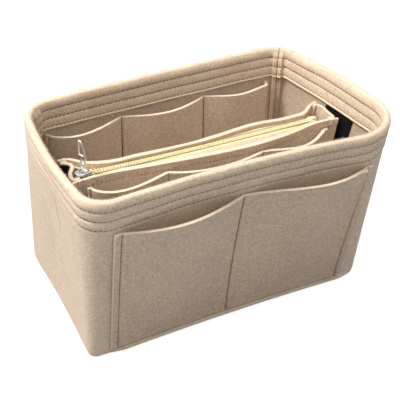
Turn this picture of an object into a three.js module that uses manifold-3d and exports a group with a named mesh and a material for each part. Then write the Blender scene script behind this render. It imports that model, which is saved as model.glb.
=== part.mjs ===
// Felt organizer insert for a handbag: an open tub with sewn pockets and a zipped pouch that lifts out.
// Millimetres. X runs along the length, the front wall faces -Y and +Z is up. The floor is z = 0.

import * as THREE from 'three';
import Module from 'manifold-3d';
import { mergeVertices } from 'three/addons/utils/BufferGeometryUtils.js';

const wasm = await Module();
wasm.setup();

// Felt and sewing
const felt = 3;
const seamGap = 0.3;

// Tub: corners of the rim in plan. The length is along the front, the width along the left end.
const tubHeight = 162;
const tubLength = 288;
const tubWidth = 161;
const rimBackInset = 18;
const rimBackSkew = 19;
const rimFrontLeftX = -140;
const rimFrontLeftY = -92;
const rimFrontRightX = rimFrontLeftX + tubLength;
const rimFrontRightY = -93;
const rimBackLeftX = -139;
const rimBackLeftY = rimFrontLeftY + tubWidth;
const rimBackRightX = rimFrontRightX - rimBackInset;
const rimBackRightY = rimBackLeftY + rimBackSkew;
const rimFrontLeftRadius = 23;
const rimFrontRightRadius = 50;
const rimBackRightRadius = 25;
const rimBackLeftRadius = 36;
const rimFrontBow = -5;
const rimRightBow = 3.3;
const rimBackBow = 1.8;
const rimLeftBow = 3.2;

// Tub: corners of the base in plan. The felt draws in a little between them.
const baseRightInset = 23.5;
const baseBackInset = 2;
const baseBackLead = 7;
const baseFrontLeftX = -135.5;
const baseFrontLeftY = -73;
const baseFrontRightX = rimFrontRightX - baseRightInset;
const baseFrontRightY = -75.2;
const baseBackRightX = baseFrontRightX - baseBackInset;
const baseBackRightY = rimBackLeftY + baseBackLead;
const baseBackLeftX = -136;
const baseBackLeftY = baseBackRightY;
const baseCornerRadius = 7;
const baseFrontBow = -2.8;
const baseRightBow = -2;
const baseBackBow = -3;
const baseLeftBow = -2;

// Tub: how the walls lean out from the base to the rim, and sag in at half height
const flarePower = 1.12;
const frontSag = 3;
const rightSag = 1.6;
const backSag = 0.6;
const leftSag = 2.4;

// Tub: hem folded to the inside, and the seam allowances at the two back corners
const hemDepth = 28;
const hemThickness = 6;
const seamAllowance = 6;
const seamLip = 0.4;
const seamCut = 10;
const panelGap = 0.5;
const cornerColumn = 3;

// Front pockets
const frontPocketDropLeft = 30;
const frontPocketDropRight = 31;
const frontPocketTopLeft = tubHeight - frontPocketDropLeft;
const frontPocketTopRight = tubHeight - frontPocketDropRight;
const frontPocketBottom = 8;
const frontPocketInset = 41.4;
const frontFootInset = 3.1;
const frontPocketLeft = -118.3;
const frontPocketRight = rimFrontRightX - frontPocketInset;
const frontSeamX = -10.2;
const frontFootLeft = -118.7;
const frontFootRight = frontPocketRight - frontFootInset;
const frontFootSeamX = -13;
const frontFlangeLeft = 5.5;
const frontFlangeRight = 6.3;
const frontLeftBulge = 12.5;
const frontRightBulge = 11.5;

// Back pockets
const backPocketDrop = 33;
const backPocketTop = tubHeight - backPocketDrop;
const backPocketBottom = 6;
const backPocketInset = 19;
const backPocketLeft = -118;
const backPocketRight = rimBackRightX - backPocketInset;
const backFlange = 4;
const backSeamLeftX = -45.5;
const backSeamRightX = 39;
const backLeftBulge = 14;
const backMiddleBulge = 12;
const backRightBulge = 11;

// Loop strips on the end walls
const stripThickness = 1.2;
const loopFrontY = -26;
const loopBackY = 10;
const loopBelowHem = 2;
const loopTop = tubHeight - hemDepth - loopBelowHem;
const loopBottom = 32;

// Pouch
const pouchDrop = 31;
const pouchTop = tubHeight - pouchDrop;
const pouchFrontY = -15.5;
const pouchBackY = 23;
const pouchRightInset = 20.5;
const pouchRightTaper = 14.1;
const pouchTopLeftX = -121;
const pouchTopRightX = rimFrontRightX - pouchRightInset;
const pouchBottomLeftX = -125;
const pouchBottomRightX = pouchTopRightX - pouchRightTaper;
const gussetBend = 4;
const gussetBowLeft = 4;
const gussetBowRight = 0.8;
const pouchBaseFelt = 2.5;

// Pouch pockets
const smallPocketDrop = 7;
const smallPocketTop = pouchTop - smallPocketDrop;
const smallPocketBottom = 20;
const smallPocketInset = 11;
const smallFlange = 3.5;
const smallSeamLeftX = -43;
const smallSeamRightX = 43;
const smallLeftBulge = 14;
const smallMiddleBulge = 7.5;
const smallRightBulge = 11.5;

// Hook strips on the pouch ends
const hookDropLeft = 5;
const hookDropRight = 14;
const hookFoot = 21;
const hookTopLeft = pouchTop - hookDropLeft;
const hookTopRight = pouchTop - hookDropRight;
const hookHeight = hookTopRight - hookFoot;

// Zip
const zipY = -5;
const zipDrop = 0.8;
const zipZ = pouchTop - zipDrop;
const tapeThickness = 0.6;
const tapeLeg = 8;
const coilHalfWidth = 2.5;
const coilHeight = 1.8;
const coilSpine = 0.9;
const coilReach = 0.8;
const coilPitch = 2.4;
const coilTooth = 0.85;
const coilToothTip = 0.6;
const coilRightInset = 23.1;
const coilRightX = pouchTopRightX - coilRightInset;
const stopLength = 2.8;
const stopHeight = 2.6;
const stopCorner = 0.6;

// Slider and puller
const sliderX = -108;
const coilInSlider = 0.4;
const coilLeftX = sliderX + coilInSlider;
const sliderLength = 11;
const sliderShoulder = 8.4;
const sliderTail = 7.2;
const sliderNose = 1.6;
const sliderPlate = 1.2;
const sliderEdge = 0.35;
const dividerLength = 3.4;
const dividerWidth = 2;
const bridgeLength = 5.4;
const bridgeHeight = 4.7;
const bridgeWidth = 1.6;
const bridgeStock = 1;
const pullerAxisLift = 1.9;
const pullerWidth = 7;
const pullerLength = 26.5;
const pullerThickness = 1.5;
const pullerEdge = 0.2;
const pullerYaw = 25;
const pullerLean = -8;

const overrun = 2;

// Materials
function fabric(colour, roughness) {
  return new THREE.MeshStandardMaterial({ color: colour, roughness, metalness: 0 });
}

const feltMaterial = fabric('#d8bfa4', 0.95);
const shadeFeltMaterial = fabric('#cbb094', 0.95);
const tapeMaterial = fabric('#f6e6b4', 0.85);
const stripMaterial = fabric('#1a1b19', 0.9);
const metalMaterial = new THREE.MeshStandardMaterial({ color: '#c9cac8', roughness: 0.22, metalness: 1 });

// Meshing

// Joins points and triangles into a geometry whose faces point out.
function closedGeometry(points, triangles) {
  let volume = 0;
  for (const [a, b, c] of triangles) {
    volume += points[a].dot(points[b].clone().cross(points[c]));
  }
  const facing = volume < 0 ? triangles.map(([a, b, c]) => [a, c, b]) : triangles;
  const geometry = new THREE.BufferGeometry();
  const places = points.flatMap((point) => [point.x, point.y, point.z]);
  geometry.setAttribute('position', new THREE.Float32BufferAttribute(places, 3));
  geometry.setIndex(facing.flat());
  geometry.computeVertexNormals();
  return geometry;
}

// A solid through columns that each hold two lists of paired points, one for each face of the sheet.
function sheetSolid(columns) {
  const count = columns[0].outer.length;
  const points = columns.flatMap((column) => [...column.outer, ...column.inner]);
  const outer = (i, j) => i * count * 2 + j;
  const inner = (i, j) => outer(i, j) + count;
  const triangles = [];
  const quad = (a, b, c, d) => triangles.push([a, b, c], [a, c, d]);
  const last = columns.length - 1;
  for (let i = 0; i < last; i += 1) {
    for (let j = 0; j < count - 1; j += 1) {
      quad(outer(i, j), outer(i + 1, j), outer(i + 1, j + 1), outer(i, j + 1));
      quad(inner(i, j + 1), inner(i + 1, j + 1), inner(i + 1, j), inner(i, j));
    }
    quad(inner(i, 0), inner(i + 1, 0), outer(i + 1, 0), outer(i, 0));
    quad(outer(i, count - 1), outer(i + 1, count - 1), inner(i + 1, count - 1), inner(i, count - 1));
  }
  for (let j = 0; j < count - 1; j += 1) {
    quad(outer(0, j + 1), inner(0, j + 1), inner(0, j), outer(0, j));
    triangles.push([outer(last, j + 1), inner(last, j), inner(last, j + 1)]);
    triangles.push([outer(last, j + 1), outer(last, j), inner(last, j)]);
  }
  return closedGeometry(points, triangles);
}

// A sheet that stands upright: rows of plan points at rising heights, thickened to the left of the row.
function uprightSheet(rows, thickness) {
  const columns = rows[0].map(() => ({ outer: [], inner: [] }));
  for (const row of rows) {
    row.forEach((point, i) => {
      const before = row[Math.max(i - 1, 0)];
      const after = row[Math.min(i + 1, row.length - 1)];
      const left = leftOf(before, after);
      columns[i].outer.push(point);
      columns[i].inner.push(new THREE.Vector3(
        point.x + left.x * thickness,
        point.y + left.y * thickness,
        point.z,
      ));
    });
  }
  return sheetSolid(columns);
}

// Unit vector to the left of the way from one plan point to another.
function leftOf(from, to) {
  return new THREE.Vector2(from.y - to.y, to.x - from.x).normalize();
}

// Evenly spread values from start to end, both included.
function spread(start, end, steps) {
  return Array.from({ length: steps + 1 }, (_, i) => THREE.MathUtils.lerp(start, end, i / steps));
}

// A smooth rise and fall from 0 through 1 at the middle to 0 again.
function hump(share) {
  return 4 * share * (1 - share);
}

function toManifold(geometry) {
  const bare = geometry.index ? geometry.clone() : geometry;
  bare.deleteAttribute('normal');
  bare.deleteAttribute('uv');
  const merged = mergeVertices(bare);
  return new wasm.Manifold(new wasm.Mesh({
    numProp: 3,
    vertProperties: new Float32Array(merged.attributes.position.array),
    triVerts: new Uint32Array(merged.index.array),
  }));
}

function fromManifold(solid) {
  const mesh = solid.getMesh();
  const geometry = new THREE.BufferGeometry();
  geometry.setAttribute('position', new THREE.BufferAttribute(mesh.vertProperties, 3));
  geometry.setIndex(new THREE.BufferAttribute(mesh.triVerts, 1));
  geometry.computeVertexNormals();
  return geometry;
}

// Tub outline in plan

const roundSteps = 12;
const sideSteps = 20;
const pointsPerSide = roundSteps + sideSteps;

// One closed outline, counter-clockwise from the front left corner: each corner's arc, then its bowed side.
function outlineOf(corners, radii, bows) {
  const arcs = corners.map((corner, i) => {
    const toPrevious = corners[(i + 3) % 4].clone().sub(corner).normalize();
    const toNext = corners[(i + 1) % 4].clone().sub(corner).normalize();
    const half = Math.acos(toPrevious.dot(toNext)) / 2;
    const inward = toPrevious.clone().add(toNext).normalize();
    const centre = corner.clone().addScaledVector(inward, radii[i] / Math.sin(half));
    const start = corner.clone().addScaledVector(toPrevious, radii[i] / Math.tan(half)).sub(centre);
    const turn = Math.PI - half * 2;
    return spread(0, turn, roundSteps).map((angle) => (
      start.clone().rotateAround(new THREE.Vector2(), angle).add(centre)
    ));
  });
  return arcs.flatMap((arc, i) => {
    const from = arc[roundSteps];
    const to = arcs[(i + 1) % 4][0];
    const outward = leftOf(to, from);
    const side = spread(0, 1, sideSteps).slice(1, -1).map((share) => {
      const bow = bows[i] * hump(share);
      return from.clone().lerp(to, share).addScaledVector(outward, bow);
    });
    return [...arc, ...side];
  });
}

const rimOutline = outlineOf(
  [
    new THREE.Vector2(rimFrontLeftX, rimFrontLeftY),
    new THREE.Vector2(rimFrontRightX, rimFrontRightY),
    new THREE.Vector2(rimBackRightX, rimBackRightY),
    new THREE.Vector2(rimBackLeftX, rimBackLeftY),
  ],
  [rimFrontLeftRadius, rimFrontRightRadius, rimBackRightRadius, rimBackLeftRadius],
  [rimFrontBow, rimRightBow, rimBackBow, rimLeftBow],
);

const baseOutline = outlineOf(
  [
    new THREE.Vector2(baseFrontLeftX, baseFrontLeftY),
    new THREE.Vector2(baseFrontRightX, baseFrontRightY),
    new THREE.Vector2(baseBackRightX, baseBackRightY),
    new THREE.Vector2(baseBackLeftX, baseBackLeftY),
  ],
  Array(4).fill(baseCornerRadius),
  [baseFrontBow, baseRightBow, baseBackBow, baseLeftBow],
);

const sags = [frontSag, rightSag, backSag, leftSag];

// The tub's outer line at a height: it flares from the base, and each side sags in between its corners.
const outlines = new Map();
function tubOutline(height) {
  if (!outlines.has(height)) {
    const up = height / tubHeight;
    const share = up ** flarePower;
    const points = baseOutline.map((point, i) => {
      const side = Math.floor(i / pointsPerSide);
      const along = Math.max(i % pointsPerSide - roundSteps, 0) / sideSteps;
      const from = baseOutline[side * pointsPerSide + roundSteps];
      const to = baseOutline[((side + 1) % 4) * pointsPerSide];
      const sag = sags[side] * hump(along) * hump(up);
      return point.clone().lerp(rimOutline[i], share).addScaledVector(leftOf(from, to), sag);
    });
    const lengths = [0];
    for (let i = 0; i < points.length; i += 1) {
      lengths.push(lengths[i] + points[i].distanceTo(points[(i + 1) % points.length]));
    }
    outlines.set(height, { points, lengths });
  }
  return outlines.get(height);
}

// The point a distance along the tub's outer line.
function onOutline(height, distance) {
  const { points, lengths } = tubOutline(height);
  const around = lengths[points.length];
  const wrapped = THREE.MathUtils.euclideanModulo(distance, around);
  const next = Math.min(lengths.findIndex((end) => end > wrapped), points.length);
  const share = (wrapped - lengths[next - 1]) / (lengths[next] - lengths[next - 1]);
  return points[next - 1].clone().lerp(points[next % points.length], share);
}

// That point, with the direction into the tub. A sewn end takes the direction at its seam.
function tubPoint(height, distance, facing = distance) {
  const before = onOutline(height, facing - cornerColumn / 2);
  const after = onOutline(height, facing + cornerColumn / 2);
  return { point: onOutline(height, distance), inward: leftOf(before, after) };
}

// Middle of a corner's arc, as a distance along the outer line: 0 front left, then counter-clockwise.
function cornerDistance(height, corner) {
  const { points, lengths } = tubOutline(height);
  const turns = Math.floor(corner / 4);
  return turns * lengths[points.length] + lengths[(corner % 4) * pointsPerSide + roundSteps / 2];
}

// Distances of a wall's columns between two corners: close together near each corner.
const cornerColumnShares = [0, 1, 2.3, 4.3, 7, 10.3, 14.3];
const seamColumnShares = [4.3, 7, 10.3, 14.3];
const ribColumns = 3;
const middleColumns = 7;
function columnDistances(start, end, seamAtStart, seamAtEnd) {
  const near = (seam) => (seam
    ? [seamGap / 2, seamAllowance, seamAllowance + seamLip,
      ...seamColumnShares.map((share) => share * cornerColumn)]
    : cornerColumnShares.map((share) => share * cornerColumn));
  const first = near(seamAtStart).map((length) => start + length);
  const last = near(seamAtEnd).map((length) => end - length).reverse();
  const middle = spread(first[first.length - 1], last[0], middleColumns).slice(1, -1);
  return [...first, ...middle, ...last];
}

// Section of a tub wall: how far in from the outer line, and how high, for each pair of points.
const wallHeightShares = [0, 0.08, 0.22, 0.38, 0.54, 0.7];
const hemAngles = [0, 28, 54, 78];
function wallSection(thicker) {
  const rollRadius = hemThickness / 2;
  const rollHeight = tubHeight - rollRadius;
  const hemEdge = tubHeight - hemDepth;
  const outer = wallHeightShares.map((share) => [0, share * tubHeight]);
  const inner = wallHeightShares.map((share) => [felt + thicker, share * tubHeight]);
  outer.push([0, hemEdge - seamGap], [0, hemEdge + seamGap], [0, tubHeight - hemDepth / 2]);
  inner.push([felt + thicker, hemEdge], [hemThickness + thicker, hemEdge]);
  inner.push([hemThickness + thicker, tubHeight - hemDepth / 2]);
  for (const angle of hemAngles) {
    const across = Math.cos(THREE.MathUtils.degToRad(angle)) * rollRadius;
    const up = Math.sin(THREE.MathUtils.degToRad(angle)) * rollRadius;
    outer.push([rollRadius - across, rollHeight + up]);
    inner.push([rollRadius + across + thicker * (1 - angle / hemAngles[3]), rollHeight + up]);
  }
  return { outer, inner };
}

// A tub wall that runs round the outline from one corner to another, sewn at both ends.
function tubWall(firstCorner, lastCorner) {
  const distancesAt = (height) => {
    const list = [];
    for (let corner = firstCorner; corner < lastCorner; corner += 1) {
      const part = columnDistances(
        cornerDistance(height, corner),
        cornerDistance(height, corner + 1),
        corner === firstCorner,
        corner + 1 === lastCorner,
      );
      list.push(...(corner === firstCorner ? part : part.slice(1)));
    }
    return list;
  };
  const count = distancesAt(0).length;
  const facingAt = (height, i) => {
    if (i === 0) return cornerDistance(height, firstCorner);
    if (i === count - 1) return cornerDistance(height, lastCorner);
    return distancesAt(height)[i];
  };
  const columns = Array.from({ length: count }, (_, i) => {
    const inRib = i < ribColumns - 1 || i > count - ribColumns;
    const section = wallSection(inRib ? felt : 0);
    const lift = ([inset, height]) => {
      const { point, inward } = tubPoint(height, distancesAt(height)[i], facingAt(height, i));
      return new THREE.Vector3(point.x + inward.x * inset, point.y + inward.y * inset, height);
    };
    return { outer: section.outer.map(lift), inner: section.inner.map(lift) };
  });
  return sheetSolid(columns);
}

// The base lies inside the walls and is cut off at the two sewn corners.
function basePanel() {
  const line = [];
  for (let corner = 0; corner < 4; corner += 1) {
    const start = cornerDistance(0, corner);
    const end = cornerDistance(0, corner + 1);
    const seamAtStart = corner > 1;
    const seamAtEnd = corner === 1 || corner === 2;
    const all = columnDistances(start, end, seamAtStart, seamAtEnd);
    const kept = all.slice(seamAtStart ? ribColumns : 0, seamAtEnd ? -ribColumns : -1);
    line.push(
      ...(seamAtStart ? [start + seamCut] : []),
      ...kept,
      ...(seamAtEnd ? [end - seamCut] : []),
    );
  }
  const inset = felt + seamGap;
  const shape = new THREE.Shape(line.map((distance) => {
    const { point, inward } = tubPoint(0, distance);
    return point.addScaledVector(inward, inset);
  }));
  return new THREE.ExtrudeGeometry(shape, { depth: felt, bevelEnabled: false });
}

// A point on the front or back wall's outer line at a given x, with the direction into the tub.
const searchSteps = 30;
function wallAtX(height, x, corner) {
  let low = cornerDistance(height, corner);
  let high = cornerDistance(height, corner + 1);
  const rising = tubPoint(height, high).point.x > tubPoint(height, low).point.x;
  for (let step = 0; step < searchSteps; step += 1) {
    const middle = (low + high) / 2;
    if ((tubPoint(height, middle).point.x < x) === rising) {
      low = middle;
    } else {
      high = middle;
    }
  }
  return tubPoint(height, low);
}

// Pockets

// How far a pocket mouth stands off between two seams, as a share: its crest is at the given share.
function swell(share, crest) {
  return Math.sin(Math.PI * share ** (Math.log(0.5) / Math.log(crest)));
}

// Columns of a row of pockets: x of each column, and its stand-off at the mouth.
const pocketSteps = 10;
function pocketColumns(left, seams, right, bulges, crests) {
  const columns = [{ x: left, bulge: 0 }];
  seams.slice(0, -1).forEach((seam, i) => {
    const shares = spread(0, 1, pocketSteps);
    const used = i === 0 ? shares : shares.slice(1);
    for (const share of used) {
      const bulge = share === 0 || share === 1 ? 0 : bulges[i] * swell(share, crests[i]);
      columns.push({ x: THREE.MathUtils.lerp(seam, seams[i + 1], share), bulge });
    }
  });
  columns.push({ x: right, bulge: 0 });
  return columns;
}

// Heights of a pocket panel's rows, and the share of the stand-off that each row has.
const pocketRowShares = [0, 0.12, 0.3, 0.5, 0.7, 0.86, 1];
const swellPower = 1.15;
const frontCrestShares = [0.47, 0.62];
const backCrestShares = [0.36, 0.5, 0.54];
const smallCrestShares = [0.32, 0.42, 0.6];

// The front panel narrows towards its foot, as the wall behind it does.
function frontPocketPanel() {
  const rows = pocketRowShares.map((share) => {
    const left = THREE.MathUtils.lerp(frontFootLeft, frontPocketLeft, share);
    const right = THREE.MathUtils.lerp(frontFootRight, frontPocketRight, share);
    const seam = THREE.MathUtils.lerp(frontFootSeamX, frontSeamX, share);
    const columns = pocketColumns(
      left,
      [left + frontFlangeLeft, seam, right - frontFlangeRight],
      right,
      [frontLeftBulge, frontRightBulge],
      frontCrestShares,
    );
    return columns.map(({ x, bulge }) => {
      const across = (x - left) / (right - left);
      const top = THREE.MathUtils.lerp(frontPocketTopLeft, frontPocketTopRight, across);
      const height = THREE.MathUtils.lerp(frontPocketBottom, top, share);
      const { point, inward } = wallAtX(height, x, 0);
      const off = -panelGap - bulge * share ** swellPower;
      return new THREE.Vector3(point.x + inward.x * off, point.y + inward.y * off, height);
    });
  });
  return uprightSheet(rows, -felt);
}

function backPocketPanel() {
  const columns = pocketColumns(
    backPocketLeft,
    [backPocketLeft + backFlange, backSeamLeftX, backSeamRightX, backPocketRight - backFlange],
    backPocketRight,
    [backLeftBulge, backMiddleBulge, backRightBulge],
    backCrestShares,
  );
  const rows = pocketRowShares.map((share) => {
    const height = THREE.MathUtils.lerp(backPocketBottom, backPocketTop, share);
    return columns.map(({ x, bulge }) => {
      const { point, inward } = wallAtX(height, x, 2);
      const off = felt + panelGap + bulge * share ** swellPower;
      return new THREE.Vector3(point.x + inward.x * off, point.y + inward.y * off, height);
    });
  });
  return uprightSheet(rows, -felt);
}

// A loop strip sewn to the inside of an end wall, between two places across the tub.
const stripSteps = 4;
function loopStrip(corner) {
  const heights = spread(loopBottom, loopTop, stripSteps);
  const rows = heights.map((height) => spread(loopFrontY, loopBackY, stripSteps).map((y) => {
    const { point, inward } = endWallAtY(height, y, corner);
    const off = felt + panelGap;
    return new THREE.Vector3(point.x + inward.x * off, point.y + inward.y * off, height);
  }));
  return uprightSheet(rows, corner === 1 ? stripThickness : -stripThickness);
}

// A point on an end wall's outer line at a given y: corner 1 starts the right end, corner 3 the left end.
function endWallAtY(height, y, corner) {
  let low = cornerDistance(height, corner);
  let high = cornerDistance(height, corner + 1);
  const rising = tubPoint(height, high).point.y > tubPoint(height, low).point.y;
  for (let step = 0; step < searchSteps; step += 1) {
    const middle = (low + high) / 2;
    if ((tubPoint(height, middle).point.y < y) === rising) {
      low = middle;
    } else {
      high = middle;
    }
  }
  return tubPoint(height, low);
}

// Pouch

// Where the panels draw in at the mouth, as shares of the pouch's depth along its length.
const frontDrawShares = [
  [0, 0], [0.05, 0.045], [0.13, 0.045], [0.2, 0], [0.4, -0.14], [0.62, -0.22],
  [0.78, -0.13], [0.92, 0.04], [0.96, 0.04], [1, 0],
];
const backDrawShares = [
  [0, 0], [0.032, 0.02], [0.075, 0.27], [0.13, 0.42], [0.26, 0.47], [0.46, 0.5],
  [0.58, 0.42], [0.7, 0.34], [0.85, 0.4], [0.92, 0.33], [0.968, 0.1], [1, 0.03],
];

function drawAt(shares, along) {
  const next = Math.max(shares.findIndex(([place]) => place >= along), 1);
  const [x0, y0] = shares[next - 1];
  const [x1, y1] = shares[next];
  return THREE.MathUtils.lerp(y0, y1, THREE.MathUtils.smoothstep(along, x0, x1));
}

const pouchFloor = felt + seamGap;
const pouchBody = pouchFloor + pouchBaseFelt + seamGap;

// The pouch's two ends follow the tub's flare.
function pouchEnds(height) {
  const share = (height / pouchTop) ** flarePower;
  return {
    left: THREE.MathUtils.lerp(pouchBottomLeftX, pouchTopLeftX, share),
    right: THREE.MathUtils.lerp(pouchBottomRightX, pouchTopRightX, share),
  };
}

// Outer face of the front or back panel at a height and a share of the pouch's length.
function pouchFront(height, along) {
  const { left, right } = pouchEnds(height);
  const draw = drawAt(frontDrawShares, along) * (pouchBackY - pouchFrontY) * (height / pouchTop);
  return new THREE.Vector3(THREE.MathUtils.lerp(left, right, along), pouchFrontY + draw, height);
}

function pouchBack(height, along) {
  const { left, right } = pouchEnds(height);
  const draw = drawAt(backDrawShares, along) * (pouchBackY - pouchFrontY) * (height / pouchTop);
  return new THREE.Vector3(THREE.MathUtils.lerp(left, right, along), pouchBackY - draw, height);
}

function alongAtX(height, x) {
  const { left, right } = pouchEnds(height);
  return THREE.MathUtils.clamp((x - left) / (right - left), 0, 1);
}

const pouchRowShares = [0, 0.25, 0.5, 0.75, 0.92, 1];
const bendShare = 0.016;
const flangeShare = 0.032;
const pouchColumnShares = [
  0, bendShare, flangeShare, 0.046, 0.06, 0.08, 0.105, 0.14, 0.2, 0.27, 0.35, 0.43, 0.51, 0.58,
  0.65, 0.72, 0.79, 0.85, 0.89, 0.92, 0.945, 1 - flangeShare, 1 - bendShare, 1,
];

function pouchHeights(bottom, top) {
  return pouchRowShares.map((share) => THREE.MathUtils.lerp(bottom, top, share));
}

function pouchPanel(face, side) {
  const rows = pouchHeights(pouchBody, pouchTop).map((height) => (
    pouchColumnShares.map((along) => face(height, along))
  ));
  return uprightSheet(rows, side * felt);
}

// A point a distance in from a panel's outer face, at one of the panel's columns.
function insidePanel(face, side, height, column, inset) {
  const last = pouchColumnShares.length - 1;
  const before = face(height, pouchColumnShares[Math.max(column - 1, 0)]);
  const after = face(height, pouchColumnShares[Math.min(column + 1, last)]);
  const point = face(height, pouchColumnShares[column]);
  const inward = leftOf(before, after).multiplyScalar(side * inset);
  return new THREE.Vector3(point.x + inward.x, point.y + inward.y, height);
}

function pouchBasePanel() {
  const { left, right } = pouchEnds(pouchBody);
  const shape = new THREE.Shape([
    new THREE.Vector2(left, pouchFrontY),
    new THREE.Vector2(right, pouchFrontY),
    new THREE.Vector2(right, pouchBackY),
    new THREE.Vector2(left, pouchBackY),
  ]);
  const geometry = new THREE.ExtrudeGeometry(shape, { depth: pouchBaseFelt, bevelEnabled: false });
  return geometry.translate(0, 0, pouchFloor);
}

// Plan line of a gusset's outer face: a channel with both flanges inside the panels. Side is -1 at the left.
const bendSteps = 3;
const webSteps = 6;
function gussetLine(height, side, bow) {
  const { left, right } = pouchEnds(height);
  const end = side < 0 ? left : right;
  const last = pouchColumnShares.length - 1;
  const columns = side < 0 ? [2, 1] : [last - 2, last - 1];
  const inset = felt + seamGap;
  const front = columns.map((column) => insidePanel(pouchFront, 1, height, column, inset));
  const back = columns.map((column) => insidePanel(pouchBack, -1, height, column, inset));
  const bend = (from, turn) => spread(0, Math.PI / 2, bendSteps).slice(1).map((angle) => {
    const reach = Math.abs(end - from.x);
    const across = Math.sin(angle) * reach;
    const up = (1 - Math.cos(angle)) * gussetBend;
    return new THREE.Vector3(from.x + side * across, from.y + turn * up, height);
  });
  const frontBend = bend(front[1], 1);
  const backBend = bend(back[1], -1);
  const web = spread(0, 1, webSteps).slice(1, -1).map((share) => {
    const draw = bow * hump(share);
    const y = THREE.MathUtils.lerp(frontBend[bendSteps - 1].y, backBend[bendSteps - 1].y, share);
    return new THREE.Vector3(end - side * draw, y, height);
  });
  return [...front, ...frontBend, ...web, ...backBend.reverse(), ...back.reverse()];
}

function gusset(side, bow) {
  const rows = pouchHeights(pouchBody, pouchTop).map((height) => gussetLine(height, side, bow));
  return uprightSheet(rows, side * felt);
}

// A hook strip on the web of a gusset.
const webStart = bendSteps + 1;
function hookStrip(side, bow, top) {
  const rows = spread(top - hookHeight, top, stripSteps).map((height) => {
    const web = gussetLine(height, side, bow).slice(webStart, webStart + webSteps + 1);
    return web.map((point) => new THREE.Vector3(point.x + side * panelGap, point.y, height));
  });
  return uprightSheet(rows, -side * stripThickness);
}

function smallPocketPanel() {
  const { left, right } = pouchEnds(smallPocketTop);
  const start = left + smallPocketInset;
  const end = right - smallPocketInset;
  const columns = pocketColumns(
    start,
    [start + smallFlange, smallSeamLeftX, smallSeamRightX, end - smallFlange],
    end,
    [smallLeftBulge, smallMiddleBulge, smallRightBulge],
    smallCrestShares,
  );
  const rows = pocketRowShares.map((share) => {
    const height = THREE.MathUtils.lerp(smallPocketBottom, smallPocketTop, share);
    return columns.map(({ x, bulge }) => {
      const place = pouchFront(height, alongAtX(height, x));
      const off = panelGap + bulge * share ** swellPower;
      return new THREE.Vector3(x, place.y - off, height);
    });
  });
  return uprightSheet(rows, -felt);
}

// Zip

// A tape half lies level beside the coil and turns down inside the panel that it is sewn to.
const tapeFirstColumn = 3;
const tapeLastColumn = 19;
function zipTape(face, side) {
  const edge = zipY + side * (coilHalfWidth + seamGap);
  const half = tapeThickness / 2;
  const inset = felt + seamGap;
  const columns = [];
  for (let column = tapeFirstColumn; column <= tapeLastColumn; column += 1) {
    const top = insidePanel(face, -side, zipZ, column, inset);
    const low = insidePanel(face, -side, zipZ - tapeLeg, column, inset);
    columns.push({
      outer: [
        new THREE.Vector3(top.x, edge, zipZ + half),
        new THREE.Vector3(top.x, top.y, zipZ + half),
        new THREE.Vector3(low.x, low.y, zipZ - tapeLeg),
      ],
      inner: [
        new THREE.Vector3(top.x, edge, zipZ - half),
        new THREE.Vector3(top.x, top.y - side * tapeThickness, zipZ - half),
        new THREE.Vector3(low.x, low.y - side * tapeThickness, zipZ - tapeLeg),
      ],
    });
  }
  return sheetSolid(columns);
}

// Half of the coil: a spine with teeth that reach past the middle, between the other half's teeth.
function zipCoil(side) {
  const count = Math.floor((coilRightX - coilLeftX) / coilPitch) - 1;
  const shift = side < 0 ? 0 : coilPitch / 2;
  const root = coilHalfWidth - coilSpine;
  const line = [new THREE.Vector2(coilLeftX, coilHalfWidth), new THREE.Vector2(coilLeftX, root)];
  for (let i = 0; i < count; i += 1) {
    const middle = coilLeftX + coilPitch * i + coilPitch / 2 + shift;
    line.push(
      new THREE.Vector2(middle - coilTooth / 2, root),
      new THREE.Vector2(middle - coilToothTip / 2, -coilReach),
      new THREE.Vector2(middle + coilToothTip / 2, -coilReach),
      new THREE.Vector2(middle + coilTooth / 2, root),
    );
  }
  line.push(new THREE.Vector2(coilRightX, root), new THREE.Vector2(coilRightX, coilHalfWidth));
  const shape = new THREE.Shape(line.map((point) => new THREE.Vector2(point.x, point.y * side)));
  const geometry = new THREE.ExtrudeGeometry(shape, { depth: coilHeight, bevelEnabled: false });
  return geometry.translate(0, zipY, zipZ - coilHeight / 2);
}

// A metal clamp that ends the coil.
function zipStop() {
  const half = coilHalfWidth;
  const shape = new THREE.Shape();
  shape.moveTo(-half + stopCorner, -stopHeight / 2);
  shape.lineTo(half - stopCorner, -stopHeight / 2);
  shape.quadraticCurveTo(half, -stopHeight / 2, half, -stopHeight / 2 + stopCorner);
  shape.lineTo(half, stopHeight / 2 - stopCorner);
  shape.quadraticCurveTo(half, stopHeight / 2, half - stopCorner, stopHeight / 2);
  shape.lineTo(-half + stopCorner, stopHeight / 2);
  shape.quadraticCurveTo(-half, stopHeight / 2, -half, stopHeight / 2 - stopCorner);
  shape.lineTo(-half, -stopHeight / 2 + stopCorner);
  shape.quadraticCurveTo(-half, -stopHeight / 2, -half + stopCorner, -stopHeight / 2);
  const geometry = new THREE.ExtrudeGeometry(shape, {
    depth: stopLength, bevelEnabled: false, curveSegments: 3,
  });
  geometry.rotateY(Math.PI / 2);
  geometry.rotateX(Math.PI / 2);
  return geometry.translate(coilRightX + seamGap, zipY, zipZ);
}

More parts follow.
